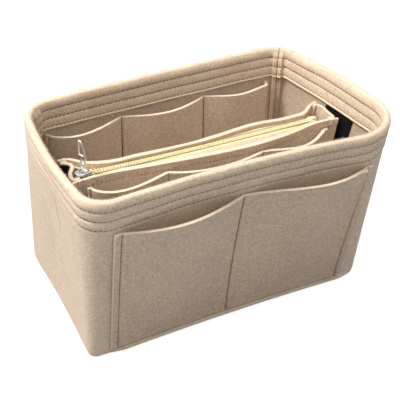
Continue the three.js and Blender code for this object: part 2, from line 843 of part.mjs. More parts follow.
// Slider: two plates joined by a divider, with a passage for the coil and slots for the tape.
function sliderBody() {
  const passage = coilHeight + seamGap * 2;
  const height = passage + sliderPlate * 2;
  const nose = -sliderLength / 2;
  const tail = sliderLength / 2;
  const plan = new THREE.Shape();
  const wide = sliderShoulder / 2 - sliderEdge;
  const narrow = sliderTail / 2 - sliderEdge;
  plan.moveTo(nose + sliderEdge, 0);
  plan.quadraticCurveTo(nose + sliderEdge, wide, nose + sliderNose, wide);
  plan.lineTo(-sliderNose, wide);
  plan.quadraticCurveTo(sliderNose, narrow, tail - sliderEdge, narrow);
  plan.lineTo(tail - sliderEdge, -narrow);
  plan.quadraticCurveTo(sliderNose, -narrow, -sliderNose, -wide);
  plan.lineTo(nose + sliderNose, -wide);
  plan.quadraticCurveTo(nose + sliderEdge, -wide, nose + sliderEdge, 0);
  const block = new THREE.ExtrudeGeometry(plan, {
    depth: height - sliderEdge * 2,
    bevelThickness: sliderEdge,
    bevelSize: sliderEdge,
    bevelSegments: 2,
    curveSegments: 5,
  });
  block.translate(0, 0, sliderEdge - height / 2);

  const lane = coilHalfWidth + seamGap;
  const mouth = lane + dividerWidth / 2 - seamGap;
  const tip = nose + dividerLength;
  const passagePlan = new THREE.Shape([
    new THREE.Vector2(tail + overrun, -lane),
    new THREE.Vector2(tail + overrun, lane),
    new THREE.Vector2(tip, lane),
    new THREE.Vector2(nose, mouth),
    new THREE.Vector2(nose - overrun, mouth),
    new THREE.Vector2(nose - overrun, dividerWidth / 2),
    new THREE.Vector2(nose, dividerWidth / 2),
    new THREE.Vector2(tip, 0),
    new THREE.Vector2(nose, -dividerWidth / 2),
    new THREE.Vector2(nose - overrun, -dividerWidth / 2),
    new THREE.Vector2(nose - overrun, -mouth),
    new THREE.Vector2(nose, -mouth),
    new THREE.Vector2(tip, -lane),
  ]);
  const hollow = new THREE.ExtrudeGeometry(passagePlan, { depth: passage, bevelEnabled: false });
  hollow.translate(0, 0, -passage / 2);

  const slotHeight = tapeThickness + seamGap * 2;
  let solid = toManifold(block).subtract(toManifold(hollow));
  for (const side of [-1, 1]) {
    const slot = new THREE.BoxGeometry(sliderLength + overrun * 2, sliderShoulder, slotHeight);
    slot.translate(0, side * (sliderShoulder / 2 + lane - seamGap), 0);
    solid = solid.subtract(toManifold(slot));
  }
  return fromManifold(solid).translate(sliderX, zipY, zipZ);
}

const sliderTop = zipZ + coilHeight / 2 + seamGap + sliderPlate;
const bridgeBase = sliderTop + seamGap;
const pullerAxis = bridgeBase + pullerAxisLift;

// Bridge: an arch along the slider that the puller hangs from.
function sliderBridge() {
  const half = bridgeLength / 2;
  const crown = bridgeHeight - half;
  const arch = new THREE.Shape();
  arch.moveTo(-half, 0);
  arch.lineTo(-half + bridgeStock, 0);
  arch.lineTo(-half + bridgeStock, crown);
  arch.absellipse(0, crown, half - bridgeStock, half - bridgeStock, Math.PI, 0, true);
  arch.lineTo(half - bridgeStock, 0);
  arch.lineTo(half, 0);
  arch.lineTo(half, crown);
  arch.absellipse(0, crown, half, half, 0, Math.PI, false);
  const geometry = new THREE.ExtrudeGeometry(arch, {
    depth: bridgeWidth, bevelEnabled: false, curveSegments: 8,
  });
  geometry.rotateX(Math.PI / 2);
  return geometry.translate(sliderX, zipY + bridgeWidth / 2, bridgeBase);
}

// Puller: a kite-shaped loop with an eye round the bridge. Each edge is a line of points, as shares of
// the puller's length and of half its width, and is mirrored across the middle.
const pullerShares = [
  [0, 0], [0, 0.62], [0.02, 0.84], [0.07, 0.9], [0.14, 0.84], [0.2, 0.64], [0.27, 0.66], [0.36, 0.84],
  [0.45, 1], [0.54, 0.99], [0.7, 0.84], [0.85, 0.68], [0.93, 0.58], [0.98, 0.4], [1, 0.16], [1, 0],
];
const eyeShares = [[0.06, 0], [0.06, 0.6], [0.13, 0.6], [0.155, 0.48], [0.17, 0.2], [0.17, 0]];
const lowerLoopShares = [
  [0.225, 0], [0.23, 0.16], [0.3, 0.3], [0.37, 0.46], [0.405, 0.5], [0.415, 0.36], [0.415, 0],
];
const upperLoopShares = [
  [0.49, 0], [0.49, 0.46], [0.505, 0.62], [0.56, 0.66], [0.7, 0.49], [0.85, 0.32], [0.92, 0.2],
  [0.935, 0.08], [0.935, 0],
];

function mirroredLine(shares, shrink) {
  const side = shares.map(([up, across]) => new THREE.Vector2(
    Math.max(across * pullerWidth / 2 - shrink, 0),
    THREE.MathUtils.lerp(shrink, pullerLength - shrink, up),
  ));
  const other = side.slice(1, -1).reverse().map((point) => new THREE.Vector2(-point.x, point.y));
  return [...side, ...other];
}

function puller() {
  const outline = new THREE.Shape(mirroredLine(pullerShares, pullerEdge));
  for (const hole of [eyeShares, lowerLoopShares, upperLoopShares]) {
    outline.holes.push(new THREE.Path(mirroredLine(hole, -pullerEdge)));
  }
  const geometry = new THREE.ExtrudeGeometry(outline, {
    depth: pullerThickness - pullerEdge * 2,
    bevelThickness: pullerEdge,
    bevelSize: pullerEdge,
    bevelSegments: 1,
  });
  geometry.translate(0, -pullerThickness / 2, pullerEdge - pullerThickness / 2);
  geometry.rotateX(Math.PI / 2);
  geometry.rotateZ(Math.PI / 2);
  geometry.rotateY(THREE.MathUtils.degToRad(pullerLean));
  geometry.rotateZ(THREE.MathUtils.degToRad(pullerYaw));
  return geometry.translate(sliderX, zipY, pullerAxis);
}

// Assembly

const organizer = new THREE.Group();

function add(name, geometry, material) {
  const mesh = new THREE.Mesh(geometry, material.clone());
  mesh.name = name;
  organizer.add(mesh);
}

add('front_and_end_walls', tubWall(3, 6), feltMaterial);
add('back_wall', tubWall(2, 3), feltMaterial);
add('base_panel', basePanel(), feltMaterial);
add('front_pocket_panel', frontPocketPanel(), shadeFeltMaterial);
add('back_pocket_panel', backPocketPanel(), shadeFeltMaterial);
add('loop_strip_left', loopStrip(3), stripMaterial);
add('loop_strip_right', loopStrip(1), stripMaterial);
add('pouch_front_panel', pouchPanel(pouchFront, 1), feltMaterial);
add('pouch_back_panel', pouchPanel(pouchBack, -1), feltMaterial);
add('pouch_base_panel', pouchBasePanel(), feltMaterial);
add('pouch_gusset_left', gusset(-1, gussetBowLeft), feltMaterial);
add('pouch_gusset_right', gusset(1, gussetBowRight), feltMaterial);
add('pouch_pocket_panel', smallPocketPanel(), shadeFeltMaterial);
add('hook_strip_left', hookStrip(-1, gussetBowLeft, hookTopLeft), stripMaterial);
add('hook_strip_right', hookStrip(1, gussetBowRight, hookTopRight), stripMaterial);
add('zip_tape_front', zipTape(pouchFront, -1), tapeMaterial);
add('zip_tape_back', zipTape(pouchBack, 1), tapeMaterial);
add('zip_coil_front', zipCoil(-1), tapeMaterial);
add('zip_coil_back', zipCoil(1), tapeMaterial);
add('zip_stop', zipStop(), metalMaterial);
add('slider_body', sliderBody(), metalMaterial);
add('slider_bridge', sliderBridge(), metalMaterial);
add('puller', puller(), metalMaterial);

// The origin is the middle of the part's own footprint.
const middle = new THREE.Box3().setFromObject(organizer).getCenter(new THREE.Vector3());
organizer.position.set(-middle.x, -middle.y, 0);

export default organizer;
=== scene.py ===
"""Felt handbag organizer: an open felt tub with sewn pockets and a zipped pouch that lifts out.

Lengths are millimetres in the plan of the pattern, with X along the length, the front wall facing -Y
and +Z up. Every mesh is written in metres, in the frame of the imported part.
"""

import logging
import math
from collections.abc import Callable
from dataclasses import dataclass, field
from enum import Enum, IntEnum

import bpy
import numpy as np
from bpy.types import ID, Material, Node, NodeSocket, NodeTree, Object
from mathutils import Matrix, Vector


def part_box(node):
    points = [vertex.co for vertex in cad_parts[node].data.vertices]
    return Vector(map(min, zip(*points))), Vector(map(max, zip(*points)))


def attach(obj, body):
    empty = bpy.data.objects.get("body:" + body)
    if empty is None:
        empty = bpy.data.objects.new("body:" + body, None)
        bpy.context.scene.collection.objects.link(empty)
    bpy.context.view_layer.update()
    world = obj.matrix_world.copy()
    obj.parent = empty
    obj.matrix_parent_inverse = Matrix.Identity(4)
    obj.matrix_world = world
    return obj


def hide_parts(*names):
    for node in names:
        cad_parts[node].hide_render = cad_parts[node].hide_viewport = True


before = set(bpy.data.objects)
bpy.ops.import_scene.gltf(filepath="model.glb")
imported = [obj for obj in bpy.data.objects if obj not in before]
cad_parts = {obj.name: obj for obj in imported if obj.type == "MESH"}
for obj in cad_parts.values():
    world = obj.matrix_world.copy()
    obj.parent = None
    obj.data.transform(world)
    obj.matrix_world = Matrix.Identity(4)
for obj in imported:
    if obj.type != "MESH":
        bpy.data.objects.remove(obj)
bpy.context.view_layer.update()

MM = 0.001
LOG = logging.getLogger("organizer")
Colour = tuple[float, float, float]
Knots = tuple[tuple[float, float], ...]
Array = np.ndarray
Pair = tuple[Array, Array]
Value = float | Array
FaceLine = Callable[[Value, Value], Array]
PocketGrid = Callable[[Array, Array], Pair]
Feed = float | tuple | NodeSocket


class Face(IntEnum):
    """Which of a felt piece's finishes a face has."""

    FELT = 0
    # Paler felt on cut edges: partly the cut felt's own colour, partly a painted highlight on edges that face the
    # light.
    CUT = 1
    # Darker felt on the inner face of the front and end walls below the hem: painted shade.
    INNER_PAINTED_SHADE = 2


class Side(IntEnum):
    """The two ends of the pouch, as the direction of X."""

    LEFT = -1
    RIGHT = 1


class Corner(IntEnum):
    """Corners of the tub, counter-clockwise in plan."""

    FRONT_LEFT = 0
    FRONT_RIGHT = 1
    BACK_RIGHT = 2
    BACK_LEFT = 3


class Body(str, Enum):
    """The bodies that pieces ride on."""

    TUB = "tub"
    POUCH = "pouch"
    SLIDER = "slider"
    PULLER = "puller"


# Shared forms


def lerp(start: Value, end: Value, share: Value) -> Value:
    """The value a share of the way from start to end."""
    return start + (end - start) * share


def ramp(value: Value, low: float, high: float) -> Value:
    """How far a value has come from low to high, as a share."""
    return np.clip((value - low) / (high - low), 0, 1)


def ease(share: Value) -> Value:
    """A share with a soft start and end."""
    return share * share * (3 - 2 * share)


def joined(*parts: Value) -> Array:
    """Points from their coordinates."""
    return np.stack(np.broadcast_arrays(*parts), axis=-1)


def level(plan: Array, height: Value) -> Array:
    """Plan points with their height."""
    return np.concatenate([plan, np.broadcast_to(np.asarray(height, float), plan.shape[:-1])[..., None]], axis=-1)


def run_of(points: Array) -> Array:
    """The length along a line to each of its points."""
    return np.concatenate([[0], np.cumsum(np.linalg.norm(np.diff(points, axis=0), axis=1))])


def unit(vectors: Array) -> Array:
    """The vectors at length 1."""
    return vectors / np.maximum(np.linalg.norm(vectors, axis=-1, keepdims=True), 1e-9)


def hump(share: Value) -> Value:
    """A smooth rise from 0 through 1 at the middle to 0 again."""
    return 4 * share * (1 - share)


def swell(share: Array, crest: float) -> Array:
    """How far a pocket mouth stands off at shares between two seams, most at its crest."""
    return np.sin(np.pi * np.clip(share, 0, 1) ** (math.log(0.5) / math.log(crest)))


def dip(offset: Array, width: float) -> Array:
    """A soft groove's depth as a share, at offsets from its middle."""
    return np.exp(-((offset / width) ** 2))


def smooth_curve(knots: Knots, places: Array) -> Array:
    """A curve through knots with no flat steps between them.

    Args:
        knots: pairs of place and value, in rising order of place.
        places: where the curve is wanted.

    Returns:
        The curve's value at each place.
    """
    x, y = np.array(knots, float).T
    slopes = np.gradient(y, x)
    slopes[0] = slopes[-1] = 0
    places = np.clip(places, x[0], x[-1])
    k = np.clip(np.searchsorted(x, places, side="right") - 1, 0, len(x) - 2)
    step = x[k + 1] - x[k]
    t = (places - x[k]) / step
    return (
        (2 * t**3 - 3 * t**2 + 1) * y[k] + (t**3 - 2 * t**2 + t) * step * slopes[k]
        + (3 * t**2 - 2 * t**3) * y[k + 1] + (t**3 - t**2) * step * slopes[k + 1]
    )


@dataclass(frozen=True)
class Ripple:
    """Slow unevenness of felt, as a sum of waves with seeded directions."""

    height: float = 0.22
    wavelength: float = 34
    waves: int = 9
    seed: int = 3

    def at(self, u: Array, v: Array) -> Array:
        """Height in mm at places u, v in mm over the sheet."""
        draw = np.random.default_rng(self.seed)
        total = np.zeros(np.broadcast(u, v).shape)
        for _ in range(self.waves):
            turn, phase = draw.uniform(0, 2 * np.pi, 2)
            rate = 2 * np.pi / (self.wavelength * draw.uniform(0.6, 2.4))
            total = total + np.sin((u * np.cos(turn) + v * np.sin(turn)) * rate + phase)
        return total * self.height / math.sqrt(self.waves)


@dataclass
class Shape:
    """A mesh being built: points and UV places in mm, faces, and a finish for each face."""

    points: Array = field(default_factory=lambda: np.zeros((0, 3)))
    uvs: Array = field(default_factory=lambda: np.zeros((0, 2)))
    faces: list[Array] = field(default_factory=list)
    finishes: list[Array] = field(default_factory=list)

    def add(self, points: Array, uvs: Array, faces: Array, finish: Value = Face.FELT) -> None:
        """Adds points with the faces that join them.

        Args:
            points: n by 3 places.
            uvs: n by 2 places over the piece.
            faces: rows of 4 numbers of the new points.
            finish: one finish, or one for each face.
        """
        self.faces.append(np.asarray(faces) + len(self.points))
        self.finishes.append(np.broadcast_to(np.asarray(finish, int), (len(faces),)))
        self.points = np.concatenate([self.points, points])
        self.uvs = np.concatenate([self.uvs, uvs])

    def face_out(self) -> None:
        """Turns the faces round if they point into the shape."""
        faces = np.concatenate(self.faces)
        a, b, c, d = (self.points[faces[:, k]] for k in range(4))
        volume = np.einsum("ij,ij->i", a, np.cross(b, c) + np.cross(c, d)).sum()
        if volume < 0:
            self.faces = [part[:, ::-1] for part in self.faces]


@dataclass(frozen=True)
class EdgeForm:
    """How the rim of a sheet is closed: its finish and how round it is."""

    finish: Face = Face.CUT
    bulge: float = 0.3
    ring_shares: tuple[float, ...] = (0.1, 0.3, 0.5, 0.7, 0.9)


def closed_sheet(outer: Array, inner: Array, uvs: Array, edge: EdgeForm = EdgeForm()) -> Shape:
    """A closed sheet between two faces that are given as matching grids.

    Args:
        outer: rows by columns by 3 places on one face.
        inner: the same on the other face.
        uvs: rows by columns by 2 places over the sheet.
        edge: how the four sides are closed.

    Returns:
        The closed shape, facing out.
    """
    outer, inner, uvs = np.asarray(outer), np.asarray(inner), np.asarray(uvs)
    number = np.arange(outer[..., 0].size).reshape(outer.shape[:2])
    quads = np.stack(
        [number[:-1, :-1], number[:-1, 1:], number[1:, 1:], number[1:, :-1]], axis=-1
    ).reshape(-1, 4)
    outer, inner, uvs = outer.reshape(-1, 3), inner.reshape(-1, 3), uvs.reshape(-1, 2)
    shape = Shape()
    both = np.concatenate([quads, quads[:, ::-1] + number.size])
    shape.add(np.concatenate([outer, inner]), np.tile(uvs, (2, 1)), both)

    loop = np.concatenate([number[0, :-1], number[:-1, -1], number[-1, :0:-1], number[:0:-1, 0]])
    within = np.concatenate([number[1, :-1], number[:-1, -2], number[-2, :0:-1], number[:0:-1, 1]])
    middles = outer + inner
    away = unit(middles[loop] - middles[within])
    rings = [loop]
    for share in edge.ring_shares:
        out = edge.bulge * math.sqrt(max(1 - (2 * share - 1) ** 2, 0))
        rings.append(np.arange(len(loop)) + len(shape.points))
        shape.add(lerp(outer[loop], inner[loop], share) + away * out, uvs[loop], np.zeros((0, 4), int))
    rings.append(loop + number.size)
    for near, far in zip(rings[:-1], rings[1:]):
        shape.faces.append(np.stack([near, far, np.roll(far, -1), np.roll(near, -1)], axis=-1))
        shape.finishes.append(np.full(len(loop), edge.finish))
    shape.face_out()
    return shape


def leftward(points: Array) -> Array:
    """Unit plan vectors to the left of the way along each row of points."""
    step = np.gradient(points[..., :2], axis=-2)
    return unit(np.stack([-step[..., 1], step[..., 0]], axis=-1))


def offset_rows(points: Array, distance: Value) -> Array:
    """The rows of points moved to their left by a distance in plan."""
    moved = points.copy()
    moved[..., :2] += leftward(points) * np.asarray(distance)[..., None]
    return moved


def unrolled(rows: Array, heights: Array) -> Array:
    """Places over rows of points: the length along the last row, and the height."""
    return joined(run_of(rows[-1, :, :2]), heights[:, None])


def fine_places(marks: tuple[float, ...], span: float, step: float, near: tuple[float, ...]) -> Array:
    """Places over a span, evenly spread and closer together beside marks.

    Args:
        marks: places that get a line of points, with close ones beside it.
        span: the whole length.
        step: the even spacing.
        near: distances of the close lines from each mark.

    Returns:
        Rising places from 0 to span.
    """
    places = set(np.linspace(0, span, max(int(span / step), 1) + 1))
    keep = {0.0, float(span)}
    for mark in marks:
        places = {p for p in places if abs(p - mark) > near[-1] + step / 3 or p in keep}
        keep |= {mark} | {mark + d for d in near} | {mark - d for d in near}
    inside = sorted(p for p in places | keep if 0 <= p <= span)
    kept = [inside[0]]
    for place in inside[1:]:
        if place - kept[-1] > near[0] / 3:
            kept.append(place)
    kept[-1] = span
    return np.array(kept)


def pocket_columns(widths: tuple[float, ...]) -> Array:
    """Columns of a pocket panel, close together beside its seams, as stretch numbers with shares."""
    near = (0.35, 0.8, 1.4, 2.2, 3.2)
    columns = [i + fine_places((0.0, width), width, 2.1, near) / width for i, width in enumerate(widths)]
    return np.unique(np.round(np.concatenate(columns), 6))


def pocket_rows(height: float, step: float = 2.4) -> Array:
    """Rows of a pocket panel, close together at its mouth and foot, as shares of its height."""
    return fine_places((0.0, height), height, step, (0.3, 0.9, 1.8)) / height


def seam_relief(
    columns: Array, widths: tuple[float, ...], depths: tuple[float, ...], spread: tuple = (0.55, 0.4)
) -> Array:
    """How far a pocket panel's face is drawn in along its seams.

    Args:
        columns: of the panel.
        widths: of the stretches between its seams.
        depths: of the grooves.
        spread: the least width of a groove, and how much wider it is for each mm of its depth.

    Returns:
        The depth at each column.
    """
    ends = np.concatenate([[0], np.cumsum(widths)])
    places = np.interp(columns, np.arange(len(ends)), ends)
    return sum(dip(places - end, spread[0] + depth * spread[1]) * depth for end, depth in zip(ends[1:], depths))


def mouth_bulge(columns: Array, heights: tuple, crests: tuple, fullness: tuple = (1, 1, 1)) -> Array:
    """How far a pocket panel's mouth stands off at its columns.

    Args:
        columns: of the panel; the pockets lie from stretch 1 on.
        heights: how far each pocket stands off.
        crests: where in each pocket that is, as a share.
        fullness: the power of the fall from there on, under 1 for a full end.

    Returns:
        The stand-off at each column.
    """
    bulge = np.zeros_like(columns)
    for i, (height, crest, full) in enumerate(zip(heights, crests, fullness)):
        inside = (columns >= i + 1) & (columns <= i + 2)
        share = columns[inside] - i - 1
        bulge[inside] = height * swell(share, crest) ** lerp(1, full, ramp(share, crest, 1))
    return bulge


# Writing pieces


@dataclass(frozen=True)
class Plan:
    """Where the pattern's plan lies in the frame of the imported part."""

    shift: tuple[float, float]

    def to_part(self, points: Array) -> Array:
        """Places in metres in the part's frame, from plan places in mm."""
        return (points + np.array([*self.shift, 0])) * MM


def mode(name: str) -> None:
    """Switches the active object to edit or object mode."""
    bpy.ops.object.mode_set(mode=name)


def clear_selection() -> None:
    """Deselects everything and leaves edit mode."""
    if bpy.context.object and bpy.context.object.mode != "OBJECT":
        mode("OBJECT")
    bpy.ops.object.select_all(action="DESELECT")


def take(piece: Object) -> None:
    """Makes a piece the active one and the only one selected."""
    clear_selection()
    piece.select_set(True)
    bpy.context.view_layer.objects.active = piece


def put_in_scene(name: str, data: ID) -> Object:
    """A new object in the scene."""
    new = bpy.data.objects.new(name, data)
    bpy.context.scene.collection.objects.link(new)
    return new


def smooth_by_angle(piece: Object, degrees: float = 50) -> None:
    """Shades a piece smooth, with sharp edges past an angle."""
    take(piece)
    bpy.ops.object.shade_smooth_by_angle(angle=math.radians(degrees))


def settle(piece: Object, body: Body, replaced: tuple[str, ...] = ()) -> None:
    """Puts a piece on its body and hides the nodes that it stands for.

    Args:
        piece: the finished object, with its place in its mesh.
        body: the body that it moves with.
        replaced: names of the nodes that it stands for.
    """
    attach(piece, body.value)
    if replaced:
        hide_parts(*replaced)
    LOG.info("%s: %d faces on %s", piece.name, len(piece.data.polygons), body.value)


class Maker:
    """Turns shapes into pieces of the scene."""

    def __init__(self, plan: Plan) -> None:
        """Keeps the plan that all pieces are drawn in."""
        self.plan = plan

    def mesh_of(
        self, name: str, shape: Shape, finishes: list[Material], corners: int = 4
    ) -> Object:
        """Writes a shape as a mesh object.

        Args:
            name: of the object.
            shape: its points and faces in plan mm.
            finishes: its materials, in the order of Face.
            corners: of each face.

        Returns:
            The new object.
        """
        faces = np.concatenate(shape.faces)[:, :corners]
        mesh = bpy.data.meshes.new(name)
        mesh.from_pydata(self.plan.to_part(shape.points), [], faces.tolist())
        layer = mesh.uv_layers.new(name="surface")
        layer.data.foreach_set("uv", (shape.uvs[faces.ravel()] * MM).ravel())
        for material in finishes:
            mesh.materials.append(material)
        mesh.polygons.foreach_set("material_index", np.concatenate(shape.finishes))
        mesh.update()
        return put_in_scene(name, mesh)

    def piece(
        self, name: str, shape: Shape, finishes: list[Material], body: Body, slot: str,
        replaced: tuple[str, ...] = (),
    ) -> None:
        """Writes a shape as a piece.

        Args:
            name: of the piece.
            shape: its points and faces in plan mm.
            finishes: its materials, in the order of Face.
            body: that it rides on.
            slot: not used.
            replaced: the nodes that it stands for.
        """
        piece = self.mesh_of(name, shape, finishes)
        smooth_by_angle(piece)
        settle(piece, body, replaced)


# Finishes


class Nodes:
    """Short ways to add and link shader nodes in one node tree."""

    def __init__(self, tree: NodeTree) -> None:
        """Works on one node tree."""
        self.tree = tree

    def add(self, kind: str, **inputs: Feed) -> Node:
        """Adds a node of a kind, without its ShaderNode prefix, and feeds its inputs."""
        return self.fill(self.tree.nodes.new("ShaderNode" + kind), **inputs)

    def fill(self, node: Node, **inputs: Feed) -> Node:
        """Feeds a node's inputs.

        Args:
            node: any node.
            **inputs: values or sockets of its inputs, with _ for a space.

        Returns:
            The same node.
        """
        for key, value in inputs.items():
            self.feed(node.inputs[key.replace("_", " ")], value)
        return node

    def each(self, kind: str, *values: Feed) -> Node:
        """Adds a node of a kind and feeds its inputs in their order."""
        node = self.tree.nodes.new("ShaderNode" + kind)
        for socket, value in zip(node.inputs, values):
            self.feed(socket, value)
        return node

    def feed(self, socket: NodeSocket, value: Feed) -> None:
        """Sets a socket to a value, or links it to another socket."""
        if isinstance(value, NodeSocket):
            self.tree.links.new(value, socket)
        else:
            socket.default_value = value

    def maths(self, operation: str, first: Feed, second: Feed = 0.0, third: Feed = 0.0) -> NodeSocket:
        """The result of a Math node."""
        node = self.each("Math", first, second, third)
        node.operation = operation
        return node.outputs[0]

    def mix(self, blend: str, factor: Feed, first: Feed, second: Feed) -> NodeSocket:
        """The result of a Mix node on two colours."""
        node = self.tree.nodes.new("ShaderNodeMix")
        node.data_type = "RGBA"
        node.blend_type = blend
        for index, value in ((0, factor), (6, first), (7, second)):
            self.feed(node.inputs[index], value)
        return node.outputs[2]

    def noise(
        self, vector: Feed, scale: float, detail: float, roughness: float = 0.55, distortion: float = 0.0
    ) -> NodeSocket:
        """The value of a Noise Texture."""
        return self.add(
            "TexNoise", Vector=vector, Scale=scale, Detail=detail, Roughness=roughness, Distortion=distortion
        ).outputs["Fac"]

    def tinted(self, colour: Feed, shade: Feed, green: float, blue: float) -> NodeSocket:
        """A colour times a shade that gets warmer as it darkens, by powers for green and blue."""
        powers = [self.maths("POWER", shade, power) for power in (green, blue)]
        tone = self.add("CombineColor", Red=shade, Green=powers[0], Blue=powers[1])
        return self.mix("MULTIPLY", 1.0, colour, tone.outputs[0])

    def spread(self, value: Feed, low: float, high: float, out_low: float = 0.0, out_high: float = 1.0) -> NodeSocket:
        """A value mapped from one range to another, held at its ends."""
        return self.each("MapRange", value, low, high, out_low, out_high).outputs[0]

    def shaders(self, end: Node, factor: Feed, first: Node, second: Node) -> None:
        """Gives an output node a mix of two shaders."""
        self.feed(end.inputs["Surface"], self.each("MixShader", factor, first.outputs[0], second.outputs[0]).outputs[0])


def group(
    name: str, inputs: dict[str, object], outputs: tuple[str, ...]
) -> tuple[Nodes, bpy.types.bpy_prop_collection, Node]:
    """An empty shader node group with named sockets.

    Args:
        name: the group's name.
        inputs: for each input its value: None for a vector, or a colour or a number.
        outputs: names of the outputs.

    Returns:
        The helper that adds nodes to it, its inputs and the node of its outputs.
    """
    tree = bpy.data.node_groups.new(name, "ShaderNodeTree")
    for label, value in inputs.items():
        kind = "Vector" if value is None else "Color" if isinstance(value, tuple) else "Float"
        socket = tree.interface.new_socket(name=label, in_out="INPUT", socket_type=f"NodeSocket{kind}")
        if value is not None:
            socket.default_value = value
    for label in outputs:
        kind = "Color" if label == "Colour" else "Float"
        tree.interface.new_socket(name=label, in_out="OUTPUT", socket_type=f"NodeSocket{kind}")
    start, end = tree.nodes.new("NodeGroupInput"), tree.nodes.new("NodeGroupOutput")
    return Nodes(tree), start.outputs, end


def felt_group() -> NodeTree:
    """Needled felt: crossing fibres, fine speckle and slow cloudiness over a base colour, and a shift of its shade that
    paints in highlights and shade.
    """
    nodes, given, end = group(
        "needled_felt",
        {"Vector": None, "Colour": (0.67, 0.52, 0.39, 1), "Speckle": 0.3, "Cloud": 0.12, "Fibre": 0.35, "Lift": 0.0},
        ("Colour", "Height", "Roughness"),
    )
    maths, noise, spread, place = nodes.maths, nodes.noise, nodes.spread, given["Vector"]
    strands = []
    for turn, squeeze in (
        ((0.3, 0.5, 0.2), (0.16, 1, 1)), ((1.1, -0.4, 0.9), (1, 0.16, 1)), ((-0.6, 0.8, 1.9), (1, 1, 0.16)),
    ):
        mapped = nodes.add("Mapping", Vector=place, Rotation=turn, Scale=squeeze)
        strands.append(noise(mapped.outputs[0], 2600, 2, 0.6, 1.4))
    fibres = maths("MAXIMUM", maths("MAXIMUM", strands[0], strands[1]), strands[2])
    fibres = spread(fibres, 0.5, 0.78)
    specks = spread(noise(place, 1000, 3, 0.65, 0.5), 0.36, 0.66)
    clumps = spread(noise(place, 430, 3, 0.65, 0.8), 0.36, 0.64)
    clouds = spread(noise(place, 24, 3, 0.55, 0.3), 0.3, 0.7)
    grain = maths("MULTIPLY_ADD", specks, 0.52, maths("MULTIPLY", clumps, 0.48))
    dark = maths("MULTIPLY", maths("SUBTRACT", 1.0, grain), given["Speckle"])
    shine = maths("MULTIPLY", given["Fibre"], 0.22)
    shade = maths("MULTIPLY_ADD", fibres, shine, maths("SUBTRACT", 1.0, dark))
    slow = maths("MULTIPLY", maths("SUBTRACT", clouds, 0.5), given["Cloud"])
    # Painted light: the shift raises the shade for a painted highlight and lowers it for painted shade.
    shade = maths("ADD", maths("ADD", shade, slow), given["Lift"])
    colour = nodes.tinted(given["Colour"], shade, 1.08, 1.16)
    low = maths("MULTIPLY_ADD", specks, 0.4, maths("MULTIPLY", clumps, 0.5))
    height = maths("MULTIPLY_ADD", fibres, 0.45, low)
    nodes.fill(end, Colour=colour, Height=height, Roughness=spread(grain, 0.0, 1.0, 0.98, 0.86))
    return nodes.tree


def weave_group() -> NodeTree:
    """Fine plain weave from two crossing sets of threads, on UV places in metres."""
    nodes, given, end = group(
        "plain_weave",
        {"Vector": None, "Colour": (0.9, 0.8, 0.5, 1), "Pitch": 1600.0, "Contrast": 0.3}, ("Colour", "Height"),
    )
    maths = nodes.maths
    parts = nodes.add("SeparateXYZ", Vector=given["Vector"])
    wobble = maths("MULTIPLY", nodes.noise(given["Vector"], 900, 2), 0.8)
    waves = []
    for axis in ("X", "Y"):
        turned = maths("MULTIPLY", parts.outputs[axis], given["Pitch"])
        waves.append(maths("SINE", maths("MULTIPLY_ADD", turned, 2 * math.pi, wobble)))
    cross = nodes.spread(maths("MULTIPLY", waves[0], waves[1]), -1.0, 1.0)
    ribs = nodes.spread(waves[1], -1.0, 1.0)
    weave = maths("MULTIPLY_ADD", cross, 0.6, maths("MULTIPLY", ribs, 0.4))
    dark = maths("MULTIPLY", maths("SUBTRACT", 1.0, weave), given["Contrast"])
    shade = maths("SUBTRACT", 1.0, dark)
    nodes.fill(end, Colour=nodes.tinted(given["Colour"], shade, 1.1, 1.5), Height=weave)
    return nodes.tree


def rgba(colour: Colour, times: float = 1.0, plus: float = 0.0) -> tuple[float, ...]:
    """A colour with full alpha, made darker or paler."""
    return (*(value * times + plus for value in colour), 1.0)


@dataclass(frozen=True)
class Dress:
    """Base of the finishes: a material's name and colour, and its start."""

    name: str
    colour: Colour

    def start(self, coordinate: str = "Object") -> tuple[Material, Nodes, Node, NodeSocket]:
        """A new material.

        Args:
            coordinate: which texture coordinate its pattern follows.

        Returns:
            The material, a node helper, its shader and the mapped coordinate.
        """
        material = bpy.data.materials.new(self.name)
        material.use_nodes = True
        nodes = Nodes(material.node_tree)
        shader = material.node_tree.nodes["Principled BSDF"]
        places = nodes.add("TexCoord")
        mapped = nodes.add("Mapping", Vector=places.outputs[coordinate])
        return material, nodes, shader, mapped.outputs[0]

    def place_group(self, nodes: Nodes, tree: NodeTree, **inputs: Feed) -> Node:
        """Puts a group into a material with its own values."""
        node = nodes.add("Group")
        node.node_tree = tree
        return nodes.fill(node, **inputs)

    def bump(self, nodes: Nodes, shader: Node, height: Feed, strength: float, distance: float) -> None:
        """Feeds a height to the shader's normal through a Bump node."""
        node = nodes.add("Bump", Height=height, Strength=strength, Distance=distance * MM)
        nodes.fill(shader, Normal=node.outputs[0])


